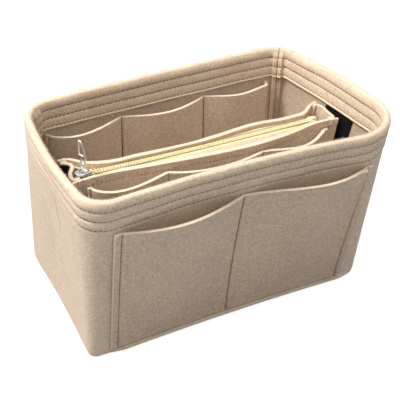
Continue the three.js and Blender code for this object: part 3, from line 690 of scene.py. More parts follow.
@dataclass(frozen=True)
class FeltFinish(Dress):
    """Matt needled felt."""

    speckle: float = 0.3
    cloud: float = 0.07
    fibre: float = 0.35
    relief: float = 0.28
    sheen: float = 0.18
    # Painted light: between these heights the felt's shade shifts from the first value to the second, a painted
    # highlight where it rises and painted shade where it falls.
    painted_light_heights: tuple = (156.5, 161.5)
    painted_light_shifts: tuple = (0.0, 0.0)

    def material(self, tree: NodeTree) -> Material:
        """The finish as a material, on the shared felt group."""
        material, nodes, shader, place = self.start()
        felt = self.place_group(
            nodes, tree, Vector=place, Colour=rgba(self.colour), Speckle=self.speckle,
            Cloud=self.cloud, Fibre=self.fibre,
        )
        # Painted highlight and painted shade: the felt's shade shifts with height.
        if any(self.painted_light_shifts):
            parts = nodes.add("SeparateXYZ", Vector=place)
            low, high = self.painted_light_heights
            nodes.feed(felt.inputs["Lift"], nodes.spread(parts.outputs[2], low * MM, high * MM, *self.painted_light_shifts))
        nodes.fill(
            shader, Base_Color=felt.outputs["Colour"], Roughness=felt.outputs["Roughness"], Sheen_Weight=self.sheen,
            Sheen_Roughness=0.6, Sheen_Tint=rgba((1.0, 0.93, 0.84)), Specular_IOR_Level=0.2,
        )
        self.bump(nodes, shader, felt.outputs["Height"], 0.7, self.relief)
        return material


@dataclass(frozen=True)
class ThreadFinish(Dress):
    """Twisted sewing thread."""

    twist: float = 2600

    def material(self) -> Material:
        """The finish as a material, with its twist across the stitches' own UV."""
        material, nodes, shader, place = self.start("UV")
        parts = nodes.add("SeparateXYZ", Vector=place)
        lean = nodes.maths("ADD", parts.outputs[0], parts.outputs[1])
        ply = nodes.spread(nodes.maths("SINE", nodes.maths("MULTIPLY", lean, self.twist)), -1.0, 1.0)
        nodes.fill(shader, Base_Color=nodes.mix("MIX", ply, rgba(self.colour, 0.6), rgba(self.colour)), Roughness=0.7)
        self.bump(nodes, shader, ply, 0.5, 0.08)
        return material


@dataclass(frozen=True)
class TapeFinish(Dress):
    """Woven zip tape."""

    contrast: float = 0.28

    def material(self, tree: NodeTree) -> Material:
        """The finish as a material, on the shared weave group."""
        material, nodes, shader, place = self.start("UV")
        weave = self.place_group(nodes, tree, Vector=place, Colour=rgba(self.colour), Contrast=self.contrast)
        nodes.fill(shader, Base_Color=weave.outputs["Colour"], Roughness=0.78, Sheen_Weight=0.1)
        self.bump(nodes, shader, weave.outputs["Height"], 0.6, 0.12)
        return material


class TouchFinish(Dress):
    """Black touch fastener tape with a nap of loops."""

    def material(self) -> Material:
        """The finish as a material, with streaks of loops along the tape."""
        material, nodes, shader, place = self.start("UV")
        streaks = nodes.add("Mapping", Vector=place, Scale=(1.0, 0.2, 1.0))
        nap = nodes.noise(streaks.outputs[0], 1500, 3, 0.65, 1.0)
        fluff = nodes.noise(place, 700, 4, 0.7, 1.5)
        both = nodes.maths("MULTIPLY", nodes.spread(nap, 0.4, 0.7), nodes.spread(fluff, 0.3, 0.7))
        colour = nodes.mix("MIX", both, rgba(self.colour), rgba(self.colour, 2.2, 0.003))
        nodes.fill(shader, Base_Color=colour, Roughness=0.8, Specular_IOR_Level=0.12)
        self.bump(nodes, shader, both, 0.8, 0.35)
        return material


class CoilFinish(Dress):
    """Half-matt nylon of the zip's coil."""

    def material(self) -> Material:
        """The finish as a material, with a faint cloudiness."""
        material, nodes, shader, place = self.start()
        cloud = nodes.spread(nodes.noise(place, 500, 2), 0.3, 0.7)
        colour = nodes.mix("MIX", cloud, rgba(self.colour, 0.8), rgba(self.colour))
        nodes.fill(shader, Base_Color=colour, Roughness=nodes.spread(cloud, 0.0, 1.0, 0.5, 0.38))
        self.bump(nodes, shader, cloud, 0.2, 0.05)
        return material


@dataclass(frozen=True)
class MetalFinish(Dress):
    """Bright nickel plate with fine handling scratches."""

    roughness: float = 0.16

    def material(self) -> Material:
        """The finish as a material, with scratches in its roughness and normal."""
        material, nodes, shader, place = self.start()
        streaks = nodes.add("Mapping", Vector=place, Scale=(1.0, 7.0, 2.0), Rotation=(0.4, 0.2, 0.7))
        scratch = nodes.spread(nodes.noise(streaks.outputs[0], 900, 4, 0.7), 0.45, 0.8)
        smear = nodes.spread(nodes.noise(place, 260, 3), 0.3, 0.7)
        colour = nodes.mix("MIX", smear, rgba(self.colour, 0.86), rgba(self.colour))
        rough = nodes.maths("MULTIPLY_ADD", smear, 0.06, nodes.maths("MULTIPLY_ADD", scratch, 0.18, self.roughness))
        nodes.fill(shader, Base_Color=colour, Metallic=1.0, Roughness=rough)
        self.bump(nodes, shader, scratch, 0.15, 0.02)
        return material


class Wardrobe:
    """All the materials of the organizer, built once."""

    def __init__(self) -> None:
        """Builds the two shared groups and every finish."""
        felt, weave = felt_group(), weave_group()
        # Wall felt brighter up the last 5 mm of the rim: a painted highlight on the rolled rim, lit from above.
        self.wall = FeltFinish("wall_felt", (0.8, 0.635, 0.48), speckle=0.4, painted_light_shifts=(0.0, 0.25)).material(felt)
        # Pocket felt darker towards the bottom, from 95 mm down to 10 mm: painted shade.
        self.pocket = FeltFinish(
            "pocket_felt", (0.8, 0.63, 0.475), speckle=0.46, painted_light_heights=(10, 95), painted_light_shifts=(-0.13, 0.0)
        ).material(felt)
        # Paler felt for cut edges and rim fibres: partly the cut felt's own colour, partly a painted highlight.
        self.cut = FeltFinish(
            "cut_edge_felt_and_painted_highlight", (0.86, 0.7, 0.52), speckle=0.2, cloud=0.05, relief=0.4, sheen=0.3
        ).material(felt)
        # About 0.71 of the wall felt's colour: painted shade for the inside of the tub below the hem.
        self.inner_painted_shade = FeltFinish("inner_felt_painted_shade", (0.57, 0.45, 0.335), speckle=0.42).material(felt)
        # Thread darkened well below the felt: partly its own brown, partly painted shade of the stitch holes and
        # grooves.
        self.thread = ThreadFinish("dark_thread_painted_shade", (0.12, 0.07, 0.04)).material()
        self.hem_thread = ThreadFinish("hem_thread", (0.3, 0.21, 0.13)).material()
        self.knot = ThreadFinish("loose_thread", (0.85, 0.7, 0.52)).material()
        self.pale_thread = ThreadFinish("beige_thread", (0.5, 0.36, 0.24)).material()
        # Near-black thread on the zip: partly the stitches' own thread, partly painted shadow along the coil.
        self.painted_shadow_coil_rows = ThreadFinish("zip_rows_painted_shadow", (0.09, 0.065, 0.015)).material()
        self.tape = TapeFinish("zip_tape", (0.93, 0.82, 0.5)).material(weave)
        self.touch = TouchFinish("touch_tape", (0.004, 0.0045, 0.005)).material()
        self.coil = CoilFinish("zip_coil", (0.95, 0.84, 0.48)).material()
        self.sheet = [self.wall, self.cut]
        self.metal = MetalFinish("nickel", (0.62, 0.62, 0.6), roughness=0.13).material()
        # A much paler copy of the nickel for the puller alone: painted highlight, so the puller looks brightly lit.
        self.puller_metal_highlit = MetalFinish("puller_nickel_painted_highlight", (0.97, 0.97, 0.95), roughness=0.34).material()


# Sewing


@dataclass(frozen=True)
class Stitch:
    """A kind of stitch: from one to the next, how much of that it covers, and its thread, in mm."""

    pitch: float
    length: float
    thickness: float


class Sewing:
    """Stitches: one capsule modelled once and set along every seam, sunk into the felt."""

    SEGMENTS = 8
    RINGS = 6
    SUNK = 0.78

    def __init__(self, maker: Maker, wardrobe: Wardrobe) -> None:
        """Models the one stitch that all rows copy."""
        self.maker = maker
        self.wardrobe = wardrobe
        self.ball, self.ball_faces = self.capsule()

    def capsule(self) -> Pair:
        """A capsule of length 1 along X and thickness 1 across, as points and faces."""
        clear_selection()
        bpy.ops.mesh.primitive_uv_sphere_add(
            segments=self.SEGMENTS, ring_count=self.RINGS, radius=0.5, rotation=(0, math.pi / 2, 0)
        )
        bpy.ops.object.transform_apply(location=False, rotation=True, scale=True)
        ball = bpy.context.object
        mode("EDIT")
        bpy.ops.mesh.quads_convert_to_tris()
        mode("OBJECT")
        points = np.array([v.co for v in ball.data.vertices])
        faces = np.array([tuple(p.vertices) for p in ball.data.polygons])
        bpy.data.objects.remove(ball)
        return points, np.concatenate([faces, faces[:, -1:]], axis=1)

    def row(self, shape: Shape, points: Array, normals: Array, stitch: Stitch, seed: int = 1) -> None:
        """Adds stitches along a line.

        Args:
            shape: what the stitches are added to.
            points: n by 3 places along the seam, in plan mm.
            normals: unit vectors out of the felt, one or n of them.
            stitch: their kind.
            seed: of the small unevenness.
        """
        normals = np.broadcast_to(normals, points.shape)
        lengths = run_of(points)
        count = max(int(lengths[-1] / stitch.pitch), 1)
        middles = (np.arange(count) + 0.5) * lengths[-1] / count
        draw = np.random.default_rng(seed)
        middles = middles + draw.normal(0, stitch.pitch * 0.03, count)

        def at(values: Array, places: Array) -> Array:
            """Values along the line at places along it."""
            return np.stack([np.interp(places, lengths, values[:, k]) for k in range(3)], axis=1)

        along = unit(at(points, middles + stitch.length / 2) - at(points, middles - stitch.length / 2))
        across = unit(np.cross(at(normals, middles), along)) * (1 + draw.normal(0, 0.05, (count, 1)))
        along = along + across * draw.normal(0, 0.035, (count, 1))
        up = np.cross(along, across)
        ball = self.ball * np.array([stitch.length, stitch.thickness, stitch.thickness])
        placed = at(points, middles)[:, None]
        for k, way in enumerate((along, across, up)):
            placed = placed + ball[None, :, k:k + 1] * way[:, None]
        faces = self.ball_faces[None] + (np.arange(count) * len(ball))[:, None, None]
        shape.add(placed.reshape(-1, 3), np.tile(ball[:, :2], (count, 1)), faces.reshape(-1, 4))

    def seams(
        self, grid: PocketGrid, numbers: range, rows: Array, felt: float, stitch: Stitch, seed: int
    ) -> Shape:
        """Stitches up the seams of a pocket panel.

        Args:
            grid: gives the panel's rear face and the vectors out of it.
            numbers: columns of the seams.
            rows: shares of the panel's height.
            felt: its thickness.
            stitch: their kind.
            seed: of the small unevenness.

        Returns:
            The stitches.
        """
        threads = Shape()
        for number in numbers:
            place, out = grid(np.array([float(number)]), rows)
            self.row(threads, place[:, 0] + out[:, 0] * (felt - self.SUNK), out[:, 0], stitch, seed + number)
        return threads

    def write(
        self, name: str, shape: Shape, material: Material, body: Body, slot: str,
        replaced: tuple[str, ...] = (),
    ) -> None:
        """Writes rows of stitches as one smooth piece of triangles, with Maker's arguments."""
        piece = self.maker.mesh_of(name, shape, [material], 3)
        piece.data.polygons.foreach_set("use_smooth", np.ones(len(piece.data.polygons), bool))
        settle(piece, body, replaced)

    def pocket_panel(
        self, name: str, node: str, body: Body, back: Array, face: Array, threads: Shape
    ) -> None:
        """Writes a pocket panel and its stitches.

        Args:
            name: of the panel.
            node: that it stands for.
            body: that it rides on.
            back: its rear face, rows by columns by 3.
            face: its front face.
            threads: its stitches.
        """
        shape = closed_sheet(back, face, back[..., [0, 2]])
        finishes = [self.wardrobe.pocket, self.wardrobe.cut]
        self.maker.piece(f"felt_{name}", shape, finishes, body, "pocket_felt", (node,))
        self.write(f"stitches_{name}", threads, self.wardrobe.thread, body, "pocket_felt")


class Workshop:
    """The tools that the makers of the tub, the pouch and the zip share."""

    BODY = Body.POUCH

    def __init__(self, sewing: Sewing) -> None:
        """Keeps the tools."""
        self.sewing, self.maker, self.wardrobe = sewing, sewing.maker, sewing.wardrobe

    def felt_piece(self, name: str, shape: Shape, *nodes: str) -> None:
        """Writes a sheet of felt with cut edges, for the nodes it stands for."""
        self.maker.piece(name, shape, self.wardrobe.sheet, self.BODY, "felt", nodes)


# Tub


@dataclass(frozen=True)
class TubSizes:
    """Driving sizes of the tub, its hem and its pockets, in mm."""

    height: float = 162
    felt: float = 3
    seam_gap: float = 0.3
    panel_gap: float = 0.5
    rim_corners: tuple = ((-140, -92), (148, -93), (130, 88), (-139, 69))
    rim_radii: tuple = (23, 50, 25, 36)
    rim_bows: tuple = (-5, 3.3, 1.8, 3.2)
    base_corners: tuple = ((-135.5, -73), (124.5, -75.2), (122.5, 76), (-136, 76))
    base_radius: float = 7
    base_bows: tuple = (-2.8, -2, -3, -2)
    flare_power: float = 1.12
    sags: tuple = (3, 1.6, 0.6, 2.4)
    hem_depth: float = 28
    hem: float = 6
    stitch_drops: tuple = (9, 17.5, 26)
    outside_stitch: Stitch = Stitch(3.7, 2.3, 0.62)
    inside_stitch: Stitch = Stitch(3.7, 1.9, 0.8)
    strip_stitch: Stitch = Stitch(3.0, 2.0, 0.45)
    rib_stitch: Stitch = Stitch(3.2, 2.2, 0.6)
    panel_stitch: Stitch = Stitch(3.0, 2.3, 0.75)
    stitched_shares: tuple = (0.022, 0.985)
    groove: float = 0.85
    groove_width: float = 0.8
    puff: float = 0.6
    facing_lip: float = 0.5
    edge_inset: float = 0.9
    lip_height: float = 1.5
    base_lip: float = 3.1
    base_lip_top: float = 5.2
    corner_lift: float = 9
    corner_reach: float = 11
    allowance: float = 6
    seam_cut: float = 10
    rib_row: float = 3.6
    fibres: int = 14000
    fibre_lengths: tuple = (0.4, 1.6)
    front_top: tuple = (132, 131)
    front_bottom: float = 8
    front_left: tuple = (-118.7, -118.3)
    front_right: tuple = (103.5, 106.6)
    front_seam: tuple = (-13, -10.2)
    front_flanges: tuple = (5.5, 6.3)
    front_bulges: tuple = (12.5, 11.5)
    front_crests: tuple = (0.47, 0.62)
    front_seam_depths: tuple = (0.9, 1.3, 2.7)
    seam_roll: float = 2.7
    seam_roll_place: tuple = (3.4, 2.3)
    foot_row: float = 2.6
    foot_groove: tuple = (0.8, 0.9)
    panel_wave: float = 0.4
    back_top: float = 129
    back_bottom: float = 6
    back_ends: tuple = (-118, 111)
    back_flange: float = 4
    back_seams: tuple = (-45.5, 39)
    back_bulges: tuple = (14, 12, 12.5)
    back_crests: tuple = (0.36, 0.5, 0.54)
    back_fullness: tuple = (1, 1, 0.2)
    back_seam_depths: tuple = (1.4, 2.1, 2.1, 1.4)
    swell_power: float = 1.15
    strip: float = 1.2
    loop_span: tuple = (-26, 10)
    loop_heights: tuple = (32, 132)

    @property
    def back_knots(self) -> tuple[float, ...]:
        """X of the inner back panel's ends and seams."""
        left, right = self.back_ends
        return left, left + self.back_flange, *self.back_seams, right - self.back_flange, right


class TubForm:
    """The tub's outer line at any height."""

    ROUND_STEPS = 24
    SIDE_STEPS = 90
    REACH = 1.5

    def __init__(self, sizes: TubSizes) -> None:
        """Draws the base and rim outlines."""
        self.sizes = sizes
        self.per_side = self.ROUND_STEPS + self.SIDE_STEPS
        self.rim = self.outline(sizes.rim_corners, sizes.rim_radii, sizes.rim_bows)
        self.base = self.outline(sizes.base_corners, (sizes.base_radius,) * 4, sizes.base_bows)
        self.lines: dict[float, Pair] = {}

    def outline(self, corners: tuple, radii: tuple, bows: tuple) -> Array:
        """A closed outline, counter-clockwise: each corner's arc and then its bowed side.

        Args:
            corners: four plan points.
            radii: of the arcs.
            bows: how far each side bows outward.

        Returns:
            The outline's points.
        """
        corners = np.array(corners, float)
        arcs = []
        for i, corner in enumerate(corners):
            back, ahead = unit(corners[i - 1] - corner), unit(corners[(i + 1) % 4] - corner)
            half = math.acos(back @ ahead) / 2
            centre = corner + unit(back + ahead) * radii[i] / math.sin(half)
            arm = corner + back * radii[i] / math.tan(half) - centre
            angles = np.linspace(0, math.pi - 2 * half, self.ROUND_STEPS + 1)[:, None]
            arcs.append(centre + arm * np.cos(angles) + np.array([-arm[1], arm[0]]) * np.sin(angles))
        parts = []
        for i, arc in enumerate(arcs):
            start, end = arc[-1], arcs[(i + 1) % 4][0]
            along = unit(end - start)
            shares = np.linspace(0, 1, self.SIDE_STEPS + 1)[1:-1, None]
            parts += [arc, lerp(start, end, shares) + np.array([along[1], -along[0]]) * bows[i] * hump(shares)]
        return np.concatenate(parts)

    def line(self, height: float) -> Pair:
        """The outer line at a height, as points and the length to each, with the whole length last."""
        if height not in self.lines:
            up = height / self.sizes.height
            points = lerp(self.base, self.rim, max(up, 0) ** self.sizes.flare_power)
            for side in range(4):
                first = side * self.per_side
                start = self.base[first + self.ROUND_STEPS]
                way = unit(self.base[(first + self.per_side) % len(self.base)] - start)
                along = np.maximum(np.arange(self.per_side) - self.ROUND_STEPS, 0) / self.SIDE_STEPS
                sag = self.sizes.sags[side] * hump(along) * hump(up)
                points[first:first + self.per_side] += sag[:, None] * np.array([-way[1], way[0]])
            self.lines[height] = points, run_of(np.concatenate([points, points[:1]]))
        return self.lines[height]

    def corner(self, height: float, number: int) -> float:
        """The middle of a corner's arc as a distance along the line, past 4 for another turn."""
        _, lengths = self.line(height)
        turns, corner = divmod(int(number), 4)
        return turns * lengths[-1] + lengths[corner * self.per_side + self.ROUND_STEPS // 2]

    def at(self, height: float, distances: Array) -> Pair:
        """Points at distances along the line, with unit vectors into the tub."""
        points, lengths = self.line(height)

        def place(d: Array) -> Array:
            """Points at distances."""
            return np.stack(
                [np.interp(d, lengths[:-1], points[:, k], period=lengths[-1]) for k in (0, 1)], axis=-1
            )

        way = place(distances + self.REACH) - place(distances - self.REACH)
        return place(distances), unit(np.stack([-way[..., 1], way[..., 0]], axis=-1))

    def across(self, height: float, corner: int, axis: int, places: Array) -> Pair:
        """Points on one wall at given X or Y.

        Args:
            height: above the floor.
            corner: the corner that the wall starts from.
            axis: 0 for places along X, 1 along Y.
            places: X or Y of each point.

        Returns:
            The points and unit vectors into the tub.
        """
        distances = np.linspace(self.corner(height, corner), self.corner(height, corner + 1), 400)
        points, _ = self.at(height, distances)
        order = np.argsort(points[:, axis])
        return self.at(height, np.interp(places, points[order, axis], distances[order]))

    def lifted(self, plan_points: Array, inward: Array, inset: Value, heights: Value) -> Array:
        """Points moved into the tub by an inset, at their heights."""
        return level(plan_points + inward * np.asarray(inset)[..., None], heights)


class Tub(Workshop):
    """The open tub: walls with a folded and stitched hem, base, pockets and loop strips."""

    BODY = Body.TUB
    FRONT = (Corner.BACK_LEFT, 6)
    BACK = (Corner.BACK_RIGHT, 3)

    def __init__(self, sewing: Sewing, sizes: TubSizes) -> None:
        """Keeps the tools and sizes."""
        super().__init__(sewing)
        self.sizes = sizes
        self.form = TubForm(sizes)
        self.ripple = Ripple()

    def build(self) -> None:
        """Builds every piece of the tub."""
        self.walls("felt_front_and_ends", *self.FRONT, "front_and_end_walls")
        self.walls("felt_back", *self.BACK, "back_wall")
        self.base_panel()
        self.front_pockets()
        self.back_pockets()
        self.loop_strip("loop_tape_left", Corner.BACK_LEFT, "loop_strip_left")
        self.loop_strip("loop_tape_right", Corner.FRONT_RIGHT, "loop_strip_right")
        self.hem_stitches()
        self.seam_stitches()
        self.rim_fuzz()

    def rim_fuzz(self) -> None:
        """Short loose fibres on the rolled rim."""
        s = self.sizes
        draw = np.random.default_rng(21)
        height = s.height - s.hem / 6
        distances = draw.uniform(0, self.form.line(height)[1][-1], s.fibres)
        turn = draw.uniform(-0.5, math.pi + 0.4, s.fibres)
        points, inward = self.form.at(height, distances)
        radius = s.hem / 2
        root = self.form.lifted(points, inward, radius * (1 - np.cos(turn)), s.height - radius + np.sin(turn) * radius)
        out = level(-inward * np.cos(turn)[:, None], np.sin(turn))
        along = level(np.concatenate([-inward[:, 1:], inward[:, :1]], axis=1), 0)
        angle = draw.uniform(0, 2 * math.pi, (s.fibres, 1))
        side = along * np.cos(angle) + np.cross(out, along) * np.sin(angle)
        across = np.cross(out, side)
        length = draw.uniform(*s.fibre_lengths, (s.fibres, 1))
        slope = draw.uniform(0.2, 1.3, (s.fibres, 1))
        rows = []
        for share, width in ((-0.1, 0.07), (0.55, 0.06), (1.0, 0.025)):
            middle = root + (out * share + side * slope * share * abs(share)) * length
            rows += [middle - across * width, middle + across * width]
        blades = np.stack(rows, axis=1).reshape(-1, 3)
        faces = np.array([[0, 1, 3, 2], [2, 3, 5, 4]])[None] + (np.arange(s.fibres) * 6)[:, None, None]
        shape = Shape()
        shape.add(blades, np.stack([np.repeat(distances, 6), blades[:, 2]], axis=1), faces.reshape(-1, 4))
        self.maker.piece("rim_fibres", shape, [self.wardrobe.cut], Body.TUB, "felt")

    def hem_relief(self, height: Value) -> Value:
        """How far the hem's face is drawn in by its stitch rows, less its puff between them."""
        drop = self.sizes.height - height
        rows = self.sizes.stitch_drops
        depth = sum(dip(drop - row, self.sizes.groove_width) for row in rows)
        puff = sum(hump(ramp(drop, *ends)) for ends in zip((2.5, *rows), rows))
        return depth * self.sizes.groove - puff * self.sizes.puff

    def profile(self) -> tuple[Array, Array, int]:
        """The wall's section.

        Returns:
            Inset and height of the outer face's rows, the same for the inner face, and the first of the
            rows that get the cut finish round the facing's cut edge, partly as a painted highlight.
        """
        s = self.sizes
        edge = s.height - s.hem_depth
        low = np.concatenate([[0, 0.4, 1, 1.8, 2.8, 3.8, 4.6, 5.05, 5.2, 5.7, 6.6], np.linspace(8, edge - 1.2, 44)])
        hem_heights = np.linspace(edge + 2.2, s.height - s.hem / 2, 40)
        upper = np.concatenate([edge + np.array([-0.5, -0.1, 0.1, 0.7, 1.5]), hem_heights])
        radius = s.hem / 2
        angles = np.radians(np.linspace(0, 84, 12)[1:])
        roll, roll_heights = radius - np.cos(angles) * radius, s.height - radius + np.sin(angles) * radius
        heights = np.concatenate([low, upper, roll_heights])
        outer = np.concatenate([np.maximum(0.9 - low * 0.75, 0) ** 1.5, self.hem_relief(upper), roll])
        hem = s.hem - self.hem_relief(hem_heights)
        inner_upper = np.concatenate([[s.felt, s.felt, s.hem - s.edge_inset, s.hem, s.hem], hem])
        inner_upper += s.facing_lip * dip(upper - edge - s.lip_height / 2, s.lip_height) * (upper > edge)
        inner = np.concatenate([s.felt + low * 0, inner_upper, s.hem - roll])
        return np.stack([outer, heights], axis=1), np.stack([inner, heights], axis=1), len(low) + 1

    def wall_distances(self, height: float, first: int, last: int) -> Array:
        """Where a wall's columns lie along the outer line, sewn at both of its ends."""
        s = self.sizes
        near = np.array([s.seam_gap / 2, 0.5, 1.1, 2.1, 3.3, 4.5, 5.5, s.allowance, 6.35, 6.9, 8.2])
        parts = []
        for corner in range(first, last):
            start, end = self.form.corner(height, corner), self.form.corner(height, corner + 1)
            head = start + near if corner == first else np.array([start])
            tail = end - near[::-1] if corner + 1 == last else np.array([end])
            middle = np.linspace(head[-1], tail[0], 80 if corner % 2 else 140)[1:-1]
            parts += [head if corner == first else head[1:], middle, tail]
        return np.concatenate(parts)

    def base_lip(self, points: Array, height: float) -> Array:
        """How far the seam along the base stands out below the front pockets."""
        s = self.sizes
        up = min(height / s.base_lip_top, 1)
        from_ends = np.minimum(points[:, 0] - s.front_left[0], s.front_right[0] + 14 - points[:, 0])
        return s.base_lip * ramp(from_ends, 0, 12) * (points[:, 1] < 0) * math.sqrt(1 - (2 * up - 1) ** 2)

    def walls(self, name: str, first: int, last: int, node: str) -> None:
        """Builds one length of wall between two sewn corners.

        Args:
            name: of the piece.
            first: corner where it starts.
            last: corner where it ends, counted on past 4.
            node: that it stands for.
        """
        s = self.sizes
        outer_rows, inner_rows, cut_row = self.profile()
        lead = self.wall_distances(0, first, last)
        corners = [self.form.corner(0, corner) for corner in range(first, last + 1)]
        from_ends = np.minimum(lead - corners[0], corners[-1] - lead)
        rib = s.felt * ease(ramp(s.allowance + 0.75 - from_ends, 0, 0.75))
        end_round = 1.5 * dip(from_ends, 0.8)
        near_corner = sum(dip(lead - corner, s.corner_reach) for corner in corners)
        grids = []
        for rows, is_inner in ((outer_rows, False), (inner_rows, True)):
            grid = []
            for inset, height in rows:
                distances = self.wall_distances(height, first, last)
                points, inward = self.form.at(height, distances)
                around = distances - distances[0]
                fade = ramp(height, 0, 12) * np.clip((s.height - height) / 6 + 0.35, 0, 1)
                low = max(1 - height / s.corner_lift, 0)
                depth = inset + self.ripple.at(around, np.full_like(around, height)) * fade
                depth = depth + near_corner * s.corner_lift * 0.22 * (1 - math.sqrt(1 - low * low))
                if is_inner:
                    depth = depth + rib * ramp(s.height - height - s.hem / 2, 0, s.hem) - end_round
                else:
                    depth = depth + end_round
                    if first == Corner.BACK_LEFT:
                        depth = depth - self.base_lip(points, height)
                grid.append(self.form.lifted(points, inward, depth, height))
            grids.append(grid)
        uvs = joined(lead - lead[0], outer_rows[:, 1:])
        shape = closed_sheet(*grids, uvs, EdgeForm(Face.FELT, 0.12))
        marks = shape.finishes[0].reshape(2, len(outer_rows) - 1, -1).copy()
        if first == Corner.BACK_LEFT:
            # Painted shade: the inner face below the hem gets the darker inner felt.
            marks[1, :cut_row] = Face.INNER_PAINTED_SHADE
        # Painted highlight: rows just above the facing's lower edge get the paler cut finish, standing in for the lit
        # cut edge.
        marks[1, cut_row:cut_row + 4] = Face.CUT
        shape.finishes[0] = marks.ravel()
        finishes = [*self.wardrobe.sheet, self.wardrobe.inner_painted_shade]
        self.maker.piece(name, shape, finishes, Body.TUB, "felt", (node,))

    def base_panel(self) -> None:
        """The base: a sheet inside the walls, cut off at the two sewn corners."""
        s = self.sizes
        count = 70

        def border(corner: int) -> Array:
            """The border along one wall, inside the felt."""
            start = self.form.corner(0, corner) + (s.seam_cut if corner % 4 > 1 else 0)
            end = self.form.corner(0, corner + 1) - (s.seam_cut if corner in (1, 2) else 0)
            points, inward = self.form.at(0, np.linspace(start, end, count))
            return points + inward * (s.felt + s.seam_gap)

        front, right, back, left = border(0), border(1), border(2)[::-1], border(3)[::-1]
        a, b = np.linspace(0, 1, count)[None, :, None], np.linspace(0, 1, count)[:, None, None]
        plan = (
            lerp(front[None], back[None], b) + lerp(left[:, None], right[:, None], a)
            - (1 - a) * (1 - b) * (front[0] + left[0]) / 2 - a * (1 - b) * (front[-1] + right[0]) / 2
            - a * b * (back[-1] + right[-1]) / 2 - (1 - a) * b * (back[0] + left[-1]) / 2
        )
        wave = np.abs(self.ripple.at(plan[..., 0], plan[..., 1])) * 0.6
        shape = closed_sheet(level(plan, 0), level(plan, s.felt - wave), plan, EdgeForm(bulge=0.15))
        self.felt_piece("felt_base", shape, "base_panel")

    def front_pocket_grid(self, columns: Array, rows: Array) -> Pair:
        """Places on the front pocket panel.

        Args:
            columns: places across it: the whole number is the stretch between seams.
            rows: shares of the panel's height.

        Returns:
            The rear face's points and unit vectors out of the tub.
        """
        s = self.sizes
        bulge = mouth_bulge(columns, s.front_bulges, s.front_crests)
        points, outward = [], []
        for share in rows:
            left, seam, right = (lerp(*ends, share) for ends in (s.front_left, s.front_seam, s.front_right))
            x = np.interp(columns, range(5), (left, left + s.front_flanges[0], seam, right - s.front_flanges[1], right))
            height = lerp(s.front_bottom, lerp(*s.front_top, (x - left) / (right - left)), share)
            middle = float(lerp(s.front_bottom, np.mean(s.front_top), share))
            place, inward = self.form.across(middle, Corner.FRONT_LEFT, 0, x)
            points.append(self.form.lifted(place, -inward, s.panel_gap + bulge * share**s.swell_power, height))
            outward.append(level(-inward, 0))
        return np.array(points), np.array(outward)

    def front_pockets(self) -> None:
        """The front panel: two pockets with raw mouths that stand away from the wall."""
        s = self.sizes
        left, seam, right = s.front_left[1], s.front_seam[1], s.front_right[1]
        widths = tuple(np.diff((left, left + s.front_flanges[0], seam, right - s.front_flanges[1], right)))
        tall = s.front_top[0] - s.front_bottom
        columns, rows = pocket_columns(widths), pocket_rows(tall)
        back, outward = self.front_pocket_grid(columns, rows)
        wave = self.ripple.at(back[..., 0], back[..., 2]) * np.minimum(rows * 3, 1)[:, None]
        foot = s.foot_groove[0] * dip(back[..., 2] - s.front_bottom - s.foot_row, s.foot_groove[1])
        ends = np.cumsum(widths)
        from_seam = ends[2] - np.interp(columns, range(5), [0, *ends])
        roll = s.seam_roll * dip(from_seam - s.seam_roll_place[0], s.seam_roll_place[1]) * (from_seam > 0)
        thick = s.felt - seam_relief(columns, widths, s.front_seam_depths) - foot + wave * s.panel_wave + roll
        lines = np.linspace(*s.stitched_shares, 70)
        threads = self.sewing.seams(self.front_pocket_grid, range(1, 4), lines, s.felt, s.panel_stitch, 11)
        place, out = self.front_pocket_grid(np.linspace(0.6, 3.6, 160), np.array([s.foot_row / tall]))
        self.sewing.row(threads, place[0] + out[0] * (s.felt - 0.7), out[0], s.panel_stitch, 17)
        face = back + outward * thick[..., None]
        self.sewing.pocket_panel("front_pockets", "front_pocket_panel", Body.TUB, back, face, threads)

    def back_pocket_grid(self, columns: Array, rows: Array) -> Pair:
        """Places on the inner back pocket panel's rear face, with unit vectors into the tub."""
        s = self.sizes
        x = np.interp(columns, range(6), s.back_knots)
        bulge = mouth_bulge(columns, s.back_bulges, s.back_crests, s.back_fullness)
        points, into = [], []
        for share in rows:
            height = float(lerp(s.back_bottom, s.back_top, share))
            place, inward = self.form.across(height, Corner.BACK_RIGHT, 0, x)
            off = s.felt + s.panel_gap + bulge * share**s.swell_power
            points.append(self.form.lifted(place, inward, off, height))
            into.append(level(inward, 0))
        return np.array(points), np.array(into)

    def back_pockets(self) -> None:
        """The inner back panel: three pockets."""
        s = self.sizes
        widths = tuple(np.diff(s.back_knots))
        columns, rows = pocket_columns(widths), pocket_rows(s.back_top - s.back_bottom)
        back, _ = self.back_pocket_grid(columns, rows)
        wave = self.ripple.at(back[..., 0] + 70, back[..., 2]) * np.minimum(rows * 3, 1)[:, None]
        thick = s.felt - seam_relief(columns, widths, s.back_seam_depths) + wave * s.panel_wave
        lines = np.linspace(*s.stitched_shares, 70)
        threads = self.sewing.seams(self.back_pocket_grid, range(1, 5), lines, s.felt, s.panel_stitch, 31)
        face = offset_rows(back, -thick)
        self.sewing.pocket_panel("back_pockets", "back_pocket_panel", Body.TUB, back, face, threads)

